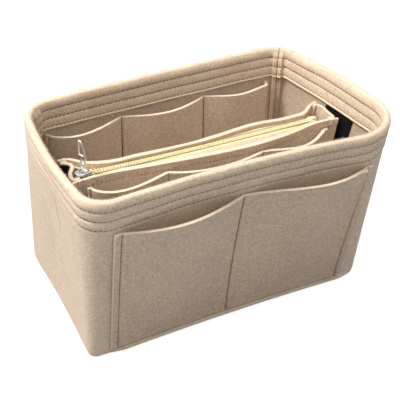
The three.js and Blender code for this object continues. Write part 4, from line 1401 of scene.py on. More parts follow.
    def loop_strip(self, name: str, corner: int, node: str) -> None:
        """A loop strip sewn inside an end wall.

        Args:
            name: of the piece.
            corner: that the end wall starts from.
            node: that it stands for.
        """
        s = self.sizes
        places, heights = np.linspace(*s.loop_span, 30), np.linspace(*s.loop_heights, 70)
        back, face = [], []
        for height in heights:
            points, inward = self.form.across(float(height), corner, 1, places)
            base = s.felt + s.panel_gap
            nap = 0.12 * self.ripple.at(places * 9, np.full_like(places, height * 9))
            back.append(self.form.lifted(points, inward, base, height))
            face.append(self.form.lifted(points, inward, base + s.strip + nap, height))
        shape = closed_sheet(back, face, joined(places, heights[:, None]), EdgeForm(Face.FELT, 0.1))
        self.maker.piece(name, shape, [self.wardrobe.touch], Body.TUB, "touch_strip", (node,))

    def hem_stitches(self) -> None:
        """Three rows of stitches round the hem, outside and inside."""
        s = self.sizes
        for name, way, stitch, clear, thread in (
            ("stitches_hem_outside", -1, s.outside_stitch, 0.8, self.wardrobe.hem_thread),
            ("stitches_hem_inside", 1, s.inside_stitch, s.allowance + 1.2, self.wardrobe.thread),
        ):
            threads = Shape()
            for k, drop in enumerate(s.stitch_drops):
                height = s.height - drop
                relief = self.hem_relief(height)
                for first, last in (self.FRONT, self.BACK):
                    start, end = self.form.corner(height, first), self.form.corner(height, last)
                    distances = np.linspace(start + clear, end - clear, 700)
                    points, inward = self.form.at(height, distances)
                    wave = self.ripple.at(distances - start - s.seam_gap / 2, np.full_like(distances, height))
                    inset = (s.hem - relief + 0.28 if way > 0 else relief - 0.2) + wave
                    place = self.form.lifted(points, inward, inset, height)
                    self.sewing.row(threads, place, level(inward * way, 0), stitch, 50 + k)
            self.sewing.write(name, threads, thread, Body.TUB, "felt")

    def seam_stitches(self) -> None:
        """Stitch lines of the loop strips, which show outside, and those down the corner seams."""
        s = self.sizes
        threads = Shape()
        for corner in (Corner.FRONT_RIGHT, Corner.BACK_LEFT):
            for y in (s.loop_span[0] + 2.5, s.loop_span[1] - 2.5):
                points, normals = [], []
                for height in np.linspace(s.loop_heights[0] + 2, s.loop_heights[1] - 1, 60):
                    place, inward = self.form.across(float(height), corner, 1, np.array([y]))
                    points.append(self.form.lifted(place, inward, 0.12, height)[0])
                    normals.append([*-inward[0], 0])
                self.sewing.row(threads, np.array(points), np.array(normals), s.strip_stitch, 70)
        for first, last in (self.FRONT, self.BACK):
            for corner, way in ((first, 1), (last, -1)):
                points, normals = [], []
                for height in np.linspace(8, s.height - 12, 90):
                    distance = self.form.corner(height, corner) + way * s.rib_row
                    place, inward = self.form.at(height, np.array([distance]))
                    base = s.hem if height > s.height - s.hem_depth else s.felt
                    points.append(self.form.lifted(place, inward, base + s.felt, height)[0])
                    normals.append([*inward[0], 0])
                self.sewing.row(threads, np.array(points), np.array(normals), s.rib_stitch, 75)
        self.sewing.write("stitches_loop_tapes", threads, self.wardrobe.pale_thread, Body.TUB, "felt")


# Pouch


@dataclass(frozen=True)
class PouchSizes:
    """Driving sizes of the pouch, its zip and its pockets, in mm."""

    top: float = 131
    front_y: float = -15.5
    back_y: float = 23
    top_ends: tuple = (-121, 127.5)
    bottom_ends: tuple = (-125, 113.4)
    flare_power: float = 1.12
    floor: float = 3.3
    base_felt: float = 2.5
    gusset_bend: float = 4
    gusset_bows: tuple = (6.5, -1.5)
    gusset_crest: float = 0.76
    felt: float = 3
    gap: float = 0.3
    panel_gap: float = 0.5
    front_draw_shares: Knots = (
        (0, 0), (0.05, 0.045), (0.13, 0.045), (0.2, 0), (0.4, -0.14), (0.62, -0.22),
        (0.78, -0.13), (0.92, 0.04), (0.96, 0.04), (1, 0),
    )
    back_draw_shares: Knots = (
        (0, 0), (0.032, 0.02), (0.075, 0.27), (0.13, 0.42), (0.26, 0.47), (0.46, 0.5),
        (0.58, 0.42), (0.7, 0.34), (0.85, 0.4), (0.92, 0.33), (0.968, 0.1), (1, 0.03),
    )
    pocket_top: float = 124
    pocket_bottom: float = 20
    pocket_inset: float = 11
    pocket_flange: float = 3.5
    pocket_seams: tuple = (-43, 43)
    pocket_bulges: tuple = (14, 7.5, 11.5)
    pocket_crests: tuple = (0.32, 0.42, 0.6)
    swell_power: float = 1.15
    bend_share: float = 0.016
    flange_share: float = 0.032
    hook_height: float = 96
    hook_tops: tuple = (130.2, 117)
    strip: float = 1.2
    top_stitch: float = 7
    facing: tuple = (1.8, 1.4)
    facing_depth: float = 9
    facing_ends: tuple = (0.07, 0.11, 0.9, 0.93)
    slider_front: float = -9.2
    slider_back: float = -0.8
    slider_gap: float = 0.7
    pucker: float = 0.5
    pucker_pitch: float = 3.3
    end_seams: Knots = ((3.4, 0.9), (8, 1.3))
    end_inset: float = 8
    top_row_shares: tuple = (0.012, 0.988)
    knot_reach: float = 1.4
    knots: tuple = ((8, 4.5), (21, 5.5))
    pocket_seam_depths: tuple = (1.6, 1.6, 1.6, 1.6)
    pocket_groove: tuple = (1.1, 0)
    stitched_shares: tuple = (0.03, 0.985)
    panel_stitch: Stitch = Stitch(3.0, 2.3, 0.7)
    top_row: Stitch = Stitch(3.1, 1.9, 0.55)
    end_row: Stitch = Stitch(2.9, 2.2, 0.62)
    knot: Stitch = Stitch(2.8, 2.6, 0.9)


class PouchForm:
    """The faces of the pouch at any height."""

    def __init__(self, sizes: PouchSizes) -> None:
        """Keeps the sizes."""
        self.sizes = sizes

    def ends(self, height: Value) -> tuple[Value, Value]:
        """X of the left and right end at a height."""
        s = self.sizes
        share = np.maximum(np.asarray(height) / s.top, 0) ** s.flare_power
        return lerp(s.bottom_ends[0], s.top_ends[0], share), lerp(s.bottom_ends[1], s.top_ends[1], share)

    def drawn(self, height: Value, along: Value, y: float, far_y: float, shares: Knots) -> Array:
        """Points on an outer face at Y that is drawn towards the far one by shares of the depth."""
        draw = smooth_curve(shares, along) * (far_y - y) * height / self.sizes.top
        return joined(lerp(*self.ends(height), along), y + draw, height)

    def front(self, height: Value, along: Value) -> Array:
        """Points on the front panel's outer face."""
        s = self.sizes
        return self.drawn(height, along, s.front_y, s.back_y, s.front_draw_shares)

    def back(self, height: Value, along: Value) -> Array:
        """Points on the back panel's outer face."""
        s = self.sizes
        return self.drawn(height, along, s.back_y, s.front_y, s.back_draw_shares)

    def facing(self, face: FaceLine, along: Array, side: int) -> Array:
        """How much thicker a panel is along its top, where the tape is sewn in.

        Args:
            face: gives the panel's outer face.
            along: shares along the panel.
            side: 1 for the front panel, -1 for the back one.

        Returns:
            The added thickness, which leaves the slider's way free.
        """
        s = self.sizes
        inner = face(s.top, along)[:, 1] + side * s.felt
        room = s.slider_front - inner if side > 0 else inner - s.slider_back
        first, second, third, fourth = s.facing_ends
        ends = ramp(along, first, second) * ramp(along, fourth, third)
        return np.clip(room - s.slider_gap, 0, s.facing[side < 0]) * ends

    def share_at(self, height: float, x: Value) -> Value:
        """The share along the pouch at an X."""
        return ramp(x, *self.ends(height))


class Pouch(Workshop):
    """The zipped pouch: felt panels, gussets, floor, pockets and hook strips."""

    WEB = slice(9, -7)
    FRONTWARD = np.array([0, -1.0, 0])

    def __init__(self, sewing: Sewing, sizes: PouchSizes) -> None:
        """Keeps the tools and sizes."""
        super().__init__(sewing)
        self.sizes = sizes
        self.form = PouchForm(sizes)
        self.ripple = Ripple(height=0.18, wavelength=26, seed=8)
        self.body = sizes.floor + sizes.base_felt + sizes.gap
        left, right = self.form.ends(sizes.pocket_top)
        start, end = left + sizes.pocket_inset, right - sizes.pocket_inset
        self.knots = (start, start + sizes.pocket_flange, *sizes.pocket_seams, end - sizes.pocket_flange, end)

    def build(self) -> None:
        """Builds every piece of the pouch but its zip."""
        self.panel("felt_pouch_front", self.form.front, 1, "pouch_front_panel")
        self.panel("felt_pouch_back", self.form.back, -1, "pouch_back_panel")
        self.floor()
        for side in Side:
            self.gusset(side)
            self.hook_strip(side)
        self.pockets()
        self.stitches()

    def panel(self, name: str, face: FaceLine, side: int, node: str) -> None:
        """A front or back panel.

        Args:
            name: of the piece.
            face: gives its outer face.
            side: 1 where the inside lies to the left of +X, -1 where to the right.
            node: that it stands for.
        """
        s = self.sizes
        length, tall = s.top_ends[1] - s.top_ends[0], s.top - self.body
        along = fine_places((s.end_inset, length - s.end_inset), length, 0.85, (0.5, 1.2)) / length
        heights = self.body + fine_places((0.0, tall - s.top_stitch, tall), tall, 3.4, (0.4, 1.0, 1.8))
        outer = np.array([face(h, along) for h in heights])
        wave = self.ripple.at(outer[..., 0], outer[..., 2])
        drop = outer[..., 2] - (s.top - s.top_stitch)
        pucker = s.pucker * np.sin(outer[..., 0] * 2 * np.pi / s.pucker_pitch + wave * 4) * dip(drop, 2.6)
        ends = sum(
            depth * (dip(along * length - place, 0.9) + dip((1 - along) * length - place, 0.9))
            for place, depth in s.end_seams
        )
        front = offset_rows(outer, side * (wave * 0.5 + 0.4 * dip(drop, 0.9) + pucker + ends))
        share = ramp(outer[..., 2] - s.top + s.facing_depth, -4, 0)
        facing = self.form.facing(face, along, side) * ease(share)
        inner = offset_rows(outer, side * (s.felt + wave * 0.5 + facing))
        shape = closed_sheet(front, inner, outer[..., [0, 2]])
        self.felt_piece(name, shape, node)

    def floor(self) -> None:
        """The pouch's floor."""
        s = self.sizes
        across = np.linspace(s.front_y, s.back_y, 16)[:, None]
        low = joined(np.linspace(*self.form.ends(self.body), 90), across, s.floor)
        shape = closed_sheet(low, low + np.array([0, 0, s.base_felt]), low[..., :2], EdgeForm(bulge=0.15))
        self.felt_piece("felt_pouch_floor", shape, "pouch_base_panel")

    def inside_panel(self, face: FaceLine, side: int, height: float, share: float) -> Array:
        """A plan point just inside a panel, at a share along it."""
        s = self.sizes
        row = face(height, share + np.array([-0.5, 0, 0.5]) * s.bend_share)
        way = unit(row[2, :2] - row[0, :2])
        return row[1, :2] + np.array([-way[1], way[0]]) * side * (s.felt + s.gap)

    def gusset_line(self, height: float, side: Side) -> Array:
        """Plan line of a gusset's outer face: flange, bend, web, bend, flange."""
        s = self.sizes
        end = float(self.form.ends(height)[side > 0])
        shares = [1 - share if side > 0 else share for share in (s.flange_share, s.bend_share)]
        angles = np.linspace(0, math.pi / 2, 9)[1:]
        flanges, bends = [], []
        for face, turn in ((self.form.front, 1), (self.form.back, -1)):
            tip, start = (self.inside_panel(face, turn, height, share) for share in shares)
            x = start[0] + side * np.sin(angles) * abs(end - start[0])
            bends.append(joined(x, start[1] + turn * (1 - np.cos(angles)) * s.gusset_bend))
            flanges.append(lerp(tip, start, np.linspace(0, 1, 4)[:, None]))
        share = np.linspace(0, 1, 16)[1:-1]
        bow = s.gusset_bows[side > 0] * swell(share, s.gusset_crest)
        web = joined(end - side * bow, lerp(bends[0][-1, 1], bends[1][-1, 1], share))
        return np.concatenate([flanges[0], bends[0], web, bends[1][::-1], flanges[1][::-1]])

    def gusset_rows(self, side: Side, heights: Array, part: slice = slice(None)) -> Array:
        """A gusset's outer face, or a part of its line, at heights."""
        return np.array([level(self.gusset_line(float(h), side)[part], h) for h in heights])

    def gusset(self, side: Side) -> None:
        """A felt gusset that closes one end of the pouch."""
        s = self.sizes
        tall = s.top - self.body
        heights = self.body + fine_places((0.0, tall), tall, 4.0, (0.4, 1.0, 2.0))
        outer = self.gusset_rows(side, heights)
        shape = closed_sheet(outer, offset_rows(outer, side * s.felt), unrolled(outer, heights))
        names = [f"{word}_{side.name.lower()}" for word in ("felt_gusset", "pouch_gusset")]
        self.felt_piece(names[0], shape, names[1])

    def hook_strip(self, side: Side) -> None:
        """A hook strip on the web of a gusset."""
        s = self.sizes
        top = s.hook_tops[side > 0]
        heights = np.linspace(top - s.hook_height, top, 60)
        outer = offset_rows(self.gusset_rows(side, heights, self.WEB), -side * s.panel_gap)
        face = offset_rows(outer, -side * s.strip)
        shape = closed_sheet(outer, face, unrolled(outer, heights), EdgeForm(Face.FELT, 0.1))
        names = [f"{word}_{side.name.lower()}" for word in ("hook_tape", "hook_strip")]
        self.maker.piece(names[0], shape, [self.wardrobe.touch], Body.POUCH, "touch_strip", (names[1],))

    def pocket_grid(self, columns: Array, rows: Array) -> Pair:
        """Places on the rear face of the pouch's pocket panel, with unit vectors out of the pouch."""
        s = self.sizes
        x = np.interp(columns, range(6), self.knots)
        bulge = mouth_bulge(columns, s.pocket_bulges, s.pocket_crests)
        grid = []
        for share in rows:
            height = float(lerp(s.pocket_bottom, s.pocket_top, share))
            y = self.form.front(height, self.form.share_at(height, x))[..., 1]
            grid.append(joined(x, y - s.panel_gap - bulge * share**s.swell_power, height))
        return np.array(grid), np.broadcast_to(self.FRONTWARD, np.shape(grid))

    def pockets(self) -> None:
        """The panel of three pockets on the pouch's front."""
        s = self.sizes
        widths = tuple(np.diff(self.knots))
        columns, rows = pocket_columns(widths), pocket_rows(s.pocket_top - s.pocket_bottom, 3.0)
        back, _ = self.pocket_grid(columns, rows)
        face = offset_rows(back, seam_relief(columns, widths, s.pocket_seam_depths, s.pocket_groove) - s.felt)
        lines = np.linspace(*s.stitched_shares, 60)
        threads = self.sewing.seams(self.pocket_grid, range(1, 5), lines, s.felt, s.panel_stitch, 90)
        self.sewing.pocket_panel("pouch_pockets", "pouch_pocket_panel", Body.POUCH, back, face, threads)

    def stitches(self) -> None:
        """The row below each panel's top edge, the upright rows near its ends and two loose knots."""
        s = self.sizes
        threads, soft, ends = Shape(), Shape(), Shape()
        length = s.top_ends[1] - s.top_ends[0]
        for face, side in ((self.form.front, 1), (self.form.back, -1)):
            row = offset_rows(face(s.top - s.top_stitch, np.linspace(*s.top_row_shares, 400))[None], side * 0.42)
            self.sewing.row(soft, row[0], level(-leftward(row)[0] * side, 0), s.top_row, 101)
            for share in (s.end_inset / length, 1 - s.end_inset / length):
                near = share + np.array([-0.004, 0, 0.004])
                rows = np.array([face(h, near) for h in np.linspace(self.body + 2, s.top - s.top_stitch - 1, 80)])
                inward = level(leftward(rows)[:, 1] * side, 0)
                self.sewing.row(threads, rows[:, 1] + inward, -inward, s.end_row, 103)
        for number, (back_from_end, drop) in enumerate(s.knots):
            place = self.form.front(s.top - drop, np.array([1 - back_from_end / length]))[0] + self.FRONTWARD * 0.3
            for turn in range(4):
                angle = turn * 0.9 + number
                way = np.array([math.cos(angle), -0.25, math.sin(angle)]) * s.knot_reach
                self.sewing.row(ends, np.stack([place - way, place + way]), self.FRONTWARD, s.knot, turn)
        for name, shape, thread in (
            ("stitches_pouch", threads, self.wardrobe.thread),
            ("stitches_pouch_top", soft, self.wardrobe.pale_thread), ("thread_knots", ends, self.wardrobe.knot),
        ):
            self.sewing.write(name, shape, thread, Body.POUCH, "felt")


# Zip


@dataclass(frozen=True)
class ZipSizes:
    """Driving sizes of the zip, its slider and its puller, in mm."""

    y: float = -5
    z: float = 130.2
    tape: float = 0.6
    leg: float = 8
    gap: float = 0.3
    tape_shares: tuple = (0.046, 0.925)
    sag: float = 4.6
    bow: float = 1.5
    tape_opening: tuple = (-109.5, -101)
    tape_rounding: tuple = (103.5, 110)
    coil_half_width: float = 2.5
    coil_reach: float = 0.8
    pitch: float = 2.4
    tooth: float = 1.05
    coil_ends: tuple = (-107.6, 104.4)
    fold: tuple = (102.3, 105.6, 110)
    fold_half: float = 4.3
    fold_rises: tuple = (0.35, 1.5)
    fold_ramp: float = 2.3
    cover: tuple = (3.1, 2.1)
    cover_thickness: float = 0.7
    cover_round: float = 5
    row_rise: float = 0.15
    cover_shares: tuple = (0.1, 0.9)
    row_offset: float = 0.75
    row_close: tuple = (103, 108.4)
    slider_x: float = -108
    plates: tuple = ((131.45, 1.5, 1.0, 0.6), (127.6, 1.1, 0.8, 0.4))
    neck: tuple = (-6.4, 0.4)
    arch_middle: float = -0.2
    arch_reach: tuple = (3.7, 4.3)
    arch_strap: tuple = (1.2, 2.5)
    arch_foot: float = 132.6
    puller_width: float = 7.4
    puller_length: float = 28.8
    puller_thickness: float = 1.5
    puller_edge: float = 0.45
    puller_yaw: float = 25
    puller_lean: float = -8
    puller_axis: float = 134.8
    stop_edge: float = 0.25
    # The front row (-1) has long stitches close together, a near-solid dark line that is a painted shadow along the
    # coil's front edge; the back row is dotted.
    rows: tuple = ((-1, Stitch(2.3, 2.0, 0.9)), (1, Stitch(2.5, 1.4, 0.85)))


class Zip(Workshop):
    """Tape halves, coil, end stop, slider and puller."""

    UP = np.array([0, 0, 1.0])
    PULLER_SHARES: Knots = (
        (0, 0), (0, 0.62), (0.02, 0.84), (0.07, 0.9), (0.14, 0.84), (0.2, 0.64), (0.27, 0.66), (0.36, 0.84),
        (0.45, 1), (0.54, 0.99), (0.7, 0.84), (0.85, 0.68), (0.93, 0.58), (0.98, 0.4), (1, 0.16), (1, 0),
    )
    PLATE_HALF: Knots = (
        (-7.7, 0), (-7.35, 1.9), (-6.2, 3.4), (-4.0, 4.15), (-1.2, 3.95), (1.5, 3.5), (3.3, 3.0), (3.95, 1.6), (4.0, 0),
    )
    EYE_SHARES: Knots = ((0.045, 0), (0.045, 0.62), (0.14, 0.66), (0.17, 0.52), (0.185, 0.22), (0.185, 0))
    LOWER_SHARES: Knots = (
        (0.225, 0), (0.23, 0.16), (0.3, 0.3), (0.37, 0.46), (0.405, 0.5), (0.415, 0.36), (0.415, 0),
    )
    UPPER_SHARES: Knots = (
        (0.49, 0), (0.49, 0.46), (0.505, 0.62), (0.56, 0.66), (0.7, 0.49), (0.85, 0.32), (0.92, 0.2),
        (0.935, 0.08), (0.935, 0),
    )

    def __init__(self, sewing: Sewing, sizes: ZipSizes, pouch: Pouch) -> None:
        """Keeps the tools, the sizes and the pouch that the tape is sewn into."""
        super().__init__(sewing)
        self.sizes, self.pouch = sizes, pouch

    def line_y(self, x: Value) -> Value:
        """Y of the zip's middle line, which bows a little to the front between its ends."""
        return self.sizes.y - self.sizes.bow * hump(ramp(x, *self.sizes.coil_ends))

    def build(self) -> None:
        """Builds every piece of the zip."""
        halves = ((-1, "front", self.pouch.form.front), (1, "back", self.pouch.form.back))
        for side, word, face in halves:
            self.tape_half(f"zip_tape_half_{word}", face, side, f"zip_tape_{word}")
        for side, word, face in halves:
            self.tape_cover(f"felt_tape_cover_{word}", face, side)
        for side, word, _ in halves:
            self.coil_half(f"coil_half_{word}", side, f"zip_coil_{word}")
        self.tape_stitches()
        stop = put_in_scene("zip_stop_clamp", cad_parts["zip_stop"].data.copy())
        self.finish_metal(stop, Body.POUCH, "zip_stop", self.wardrobe.metal, self.sizes.stop_edge)
        self.slider_shell()
        self.slider_arch()
        self.puller_loop()
        self.tape_end()

    def tape_end(self) -> None:
        """The joined end of the tape halves: a rounded tongue over the end stop."""
        s = self.sizes
        start, turn, end = s.fold
        x = lerp(start, end, np.sin(np.linspace(0, math.pi / 2, 30)))
        half = s.fold_half * np.sqrt(np.maximum(1 - ramp(x, turn, end) ** 2, 0.02))
        climb = lerp(*s.fold_rises, ease(ramp(x, start, start + s.fold_ramp)))
        share = np.linspace(-1, 1, 15)[:, None]
        y = self.line_y(x) + share * half
        upper = joined(x, y, s.z + s.tape / 2 + climb * (1 - share**6))
        shape = closed_sheet(upper, joined(x, y, s.z - s.tape / 2), upper[..., :2], EdgeForm(Face.FELT, 0.2))
        self.maker.piece("zip_tape_fold", shape, [self.wardrobe.tape], Body.POUCH, "zip_tape")

    def tape_cover(self, name: str, face: FaceLine, side: int) -> None:
        """The felt facing over the outer part of a tape half, thin enough for the slider to pass.

        Args:
            name: of the piece.
            face: gives the panel's outer face.
            side: -1 for the front half, 1 for the back half.
        """
        s, p = self.sizes, self.pouch.sizes
        along = np.linspace(*s.cover_shares, 150)
        inset = p.felt + self.pouch.form.facing(face, along, -side) - p.gap
        x, wall, _ = offset_rows(face(s.z, along)[None], -side * inset)[0].T
        edge = self.line_y(x) + side * (s.coil_half_width + s.gap)
        first = np.minimum(s.cover[side > 0] / np.maximum((wall - edge) * side, 0.1), 0.94)
        ends = np.clip(np.minimum(x - x[0], x[-1] - x) / s.cover_round, 0.12, 1)
        step = np.linspace(0, 1, 9)[:, None]
        share = lerp(first, 1, step)
        y, low = lerp(edge, wall, share), s.z + s.tape / 2 - s.sag * share**1.3
        thick = s.cover_thickness * ends * (0.45 + 0.55 * np.sqrt(hump(np.minimum(step + 0.04, 0.5))) + 0.5 * step)
        upper, lower = joined(x, y, low + thick), joined(x, y, low - 0.1)
        shape = closed_sheet(upper, lower, joined(x, step * 6), EdgeForm(bulge=0.15))
        self.felt_piece(name, shape)

    def tape_half(self, name: str, face: FaceLine, side: int, node: str) -> None:
        """Half of the tape: level beside the coil, then turned down inside its panel.

        Args:
            name: of the piece.
            face: gives the panel's outer face.
            side: -1 for the front half, 1 for the back half.
            node: that it stands for.
        """
        s, p = self.sizes, self.pouch.sizes
        along = np.linspace(*s.tape_shares, 140)
        inset = p.felt + p.gap + self.pouch.form.facing(face, along, -side)
        (x, top, _), (_, low, _) = (
            offset_rows(face(z, along)[None], -side * inset)[0].T for z in (s.z, s.z - s.leg)
        )
        half = s.tape / 2
        opened = ease(ramp(x, *s.tape_opening))
        rounded = np.sqrt(1 - 0.9 * ramp(x, *s.tape_rounding) ** 2)
        edge = lerp(top - side * 1.2, self.line_y(x) + side * (s.coil_half_width + s.gap), opened)
        share, leg = np.linspace(0, 1, 14)[:, None], np.linspace(0.1, 1, 6)[:, None]
        y = lerp(edge, top, share * rounded)
        z = s.z - s.sag * (share * rounded) ** 1.3 - s.sag * (1 - opened) * (1 - share)
        lean = np.minimum(s.sag / np.maximum(np.abs(top - edge), 2), 1) * half
        leg_y = lerp(edge, lerp(top, low, leg), rounded)
        leg_z = s.z - lerp(s.sag, s.leg, leg) * rounded**2 - leg * (1 - rounded)
        upper = [joined(x, y, z + half), joined(x, leg_y, leg_z)]
        lower = [joined(x, y - side * lean * share, z - half), joined(x, leg_y - side * s.tape, leg_z - half)]
        uvs = joined(x, np.concatenate([share * 10, 10 + leg * s.leg]))
        shape = closed_sheet(np.concatenate(upper), np.concatenate(lower), uvs, EdgeForm(Face.FELT, 0.05))
        self.maker.piece(name, shape, [self.wardrobe.tape], Body.POUCH, "zip_tape", (node,))

    def coil_half(self, name: str, side: int, node: str) -> None:
        """Half of the coil: rounded teeth that reach between the other half's, on a bent-back spine.

        Args:
            name: of the piece.
            side: -1 for the front half, 1 for the back half.
            node: that it stands for.
        """
        s = self.sizes
        shape = Shape()
        outer, tip = s.coil_half_width, -s.coil_reach
        tooth = Stitch(outer - tip, outer - tip, s.tooth)
        for number in range(int((s.coil_ends[1] - s.coil_ends[0]) / s.pitch) - 1):
            place = s.coil_ends[0] + s.pitch * (number + (1 if side > 0 else 0.5))
            line = joined(place, self.line_y(place) + side * np.array([tip, outer]), s.z)
            self.sewing.row(shape, line, self.UP, tooth)
        spine = np.linspace(*s.coil_ends, 60)
        line = joined(spine, self.line_y(spine) + side * (outer - 0.5), s.z - 0.1)
        self.sewing.row(shape, line, self.UP, Stitch(s.pitch / 2, s.pitch * 0.62, 1.0), 2)
        self.sewing.write(name, shape, self.wardrobe.coil, Body.POUCH, "zip_coil", (node,))

    def tape_stitches(self) -> None:
        """The rows that hold the coil on its tape; the front one runs almost unbroken as a painted shadow along the
        coil's front edge.
        """
        s = self.sizes
        threads = Shape()
        x = np.linspace(s.tape_opening[1], s.row_close[1], 120)
        z = s.z + s.tape / 2 + 0.1 + (s.fold_rises[1] - s.row_rise) * ease(ramp(x, s.fold[0], s.fold[0] + s.fold_ramp))
        off = s.coil_half_width + s.row_offset * (1 - 1.6 * ramp(x, *s.row_close) ** 2)
        for side, stitch in s.rows:
            self.sewing.row(threads, joined(x, self.line_y(x) + side * off, z), self.UP, stitch, 7)
        self.sewing.write("stitches_zip", threads, self.wardrobe.painted_shadow_coil_rows, Body.POUCH, "zip_tape")

    def flat_metal(self, name: str, outlines: list[Knots], thickness: float, edge: float) -> Object:
        """A flat piece with rounded edges, lying at the origin.

        Args:
            name: of the piece.
            outlines: closed smooth outlines in mm, drawn in by the edge; all but the first are holes.
            thickness: of the piece.
            edge: how far its edges are rounded.

        Returns:
            The new object, as a mesh.
        """
        curve = bpy.data.curves.new(name, "CURVE")
        curve.dimensions, curve.fill_mode = "2D", "BOTH"
        for line in outlines:
            spline = curve.splines.new("BEZIER")
            spline.bezier_points.add(len(line) - 1)
            for point, (x, y) in zip(spline.bezier_points, line):
                point.co = (x * MM, y * MM, 0)
                point.handle_left_type = point.handle_right_type = "AUTO"
            spline.use_cyclic_u, spline.resolution_u = True, 6
        curve.extrude = (thickness / 2 - edge) * MM
        curve.bevel_depth, curve.bevel_resolution = edge * MM, 3
        take(put_in_scene(name, curve))
        bpy.ops.object.convert(target="MESH")
        return bpy.context.object

    def finish_metal(
        self, piece: Object, body: Body, node: str, material: Material, round_edge: float = 0.0
    ) -> None:
        """Merges doubles, turns faces out, rounds edges, dresses a metal piece and settles it.

        Args:
            piece: the object.
            body: that it rides on.
            node: that it stands for.
            material: its finish.
            round_edge: width of its rounded edges.
        """
        take(piece)
        mode("EDIT")
        bpy.ops.mesh.select_all(action="SELECT")
        bpy.ops.mesh.remove_doubles(threshold=MM / 200)
        bpy.ops.mesh.normals_make_consistent(inside=False)
        mode("OBJECT")
        if round_edge:
            bevel = piece.modifiers.new("edges", "BEVEL")
            bevel.width, bevel.segments = round_edge * MM, 3
            bevel.limit_method, bevel.angle_limit = "ANGLE", math.radians(28)
            bpy.ops.object.modifier_apply(modifier=bevel.name)
        piece.data.materials.clear()
        piece.data.materials.append(material)
        smooth_by_angle(piece, 40)
        settle(piece, body, (node,))

    def at_slider(self, x: float, z: float) -> Matrix:
        """The placing of something at a distance along the slider, at a height."""
        place = np.array([self.sizes.slider_x + x, self.sizes.y, z])
        return Matrix.Translation(Vector(self.maker.plan.to_part(place)))

    def slider_shell(self) -> None:
        """The slider's two rounded plates and the neck that joins them at its nose."""
        s = self.sizes
        parts = []
        for z, thickness, share, edge in s.plates:
            half = [(x, y * share - (edge if y else 0)) for x, y in self.PLATE_HALF]
            line = half + [(x, -y) for x, y in half[-2:0:-1]]
            parts.append(self.flat_metal("slider_shell", [line], thickness, edge))
            parts[-1].data.transform(self.at_slider(0, z + thickness / 2))
        high, low = (plate[0] + plate[1] / 2 for plate in s.plates)
        clear_selection()
        bpy.ops.mesh.primitive_cylinder_add(vertices=24, radius=s.neck[1] * MM, depth=(high - low) * MM)
        neck = bpy.context.object
        neck.data.transform(self.at_slider(s.neck[0], (low + high) / 2))
        for part in parts:
            part.select_set(True)
        bpy.context.view_layer.objects.active = parts[0]
        bpy.ops.object.join()
        parts[0].name = "slider_shell"
        self.finish_metal(parts[0], Body.SLIDER, "slider_body", self.wardrobe.metal)

    def slider_arch(self) -> None:
        """The broad arch over the slider: an oval strap spun over from end to end."""
        s = self.sizes
        clear_selection()
        bpy.ops.mesh.primitive_circle_add(
            vertices=24, radius=0.5 * MM, location=(-s.arch_reach[0] * MM, 0, 0), scale=(*s.arch_strap, 1)
        )
        bpy.ops.object.transform_apply(location=True, rotation=True, scale=True)
        piece = bpy.context.object
        piece.name = "slider_arch"
        mode("EDIT")
        bpy.ops.mesh.select_all(action="SELECT")
        bpy.ops.mesh.spin(steps=32, angle=math.pi, center=(0, 0, 0), axis=(0, 1, 0))
        bpy.ops.mesh.select_all(action="SELECT")
        bpy.ops.mesh.fill_holes(sides=32)
        mode("OBJECT")
        middle = sum(vertex.co.z for vertex in piece.data.vertices)
        rise = math.copysign(s.arch_reach[1] / s.arch_reach[0], middle)
        piece.data.transform(self.at_slider(s.arch_middle, s.arch_foot) @ Matrix.Diagonal((1, 1, rise, 1)))
        self.finish_metal(piece, Body.SLIDER, "slider_bridge", self.wardrobe.metal)

    def puller_line(self, shares: Knots, shrink: float) -> Knots:
        """A closed outline of the puller from one half, drawn in to leave room for the rounded edge."""
        s = self.sizes
        half = [
            (max(across * s.puller_width / 2 - shrink, 0), lerp(shrink, s.puller_length - shrink, up))
            for up, across in shares
        ]
        return half + [(-x, y) for x, y in half[-2:0:-1]]

    def puller_loop(self) -> None:
        """The puller: a flat kite-shaped loop with rounded edges and an eye round the slider's arch."""
        s = self.sizes
        holes = (self.EYE_SHARES, self.LOWER_SHARES, self.UPPER_SHARES)
        outlines = [self.puller_line(self.PULLER_SHARES, s.puller_edge)]
        outlines += [self.puller_line(hole, -s.puller_edge) for hole in holes]
        piece = self.flat_metal("puller_bail", outlines, s.puller_thickness, s.puller_edge)
        piece.data.transform(
            self.at_slider(0, s.puller_axis) @ Matrix.Rotation(math.radians(s.puller_yaw), 4, "Z")
            @ Matrix.Rotation(math.radians(s.puller_lean), 4, "Y") @ Matrix.Rotation(math.pi / 2, 4, "Z")
            @ Matrix.Rotation(math.pi / 2, 4, "X") @ Matrix.Translation((0, -s.puller_thickness / 2 * MM, 0))
        )
        self.finish_metal(piece, Body.PULLER, "puller", self.wardrobe.puller_metal_highlit)


# Studio


@dataclass(frozen=True)
class Lamp:
    """A soft rectangular lamp."""

    name: str
    azimuth: float
    elevation: float
    distance: float
    size: float
    power: float
    colour: Colour = (1.0, 1.0, 1.0)


@dataclass(frozen=True)
class StudioSizes:
    """The camera's place and lens, in mm and degrees, in plan."""

    target: tuple = (0.63, 25.32, 47.11)
    azimuth: float = -28.17
    elevation: float = 35.47
    roll: float = 1.96
    distance: float = 710.19
    focal_pixels: float = 767.05
    centre_pixels: tuple = (188.07, 206.44)
    frame_pixels: float = 400
    sensor: float = 36
    floor: float = 4000


def direction(azimuth: float, elevation: float) -> Array:
    """Unit vector from the object towards a place at an azimuth and elevation in degrees."""
    a, e = math.radians(azimuth), math.radians(elevation)
    return np.array([math.sin(a) * math.cos(e), -math.cos(a) * math.cos(e), math.sin(e)])


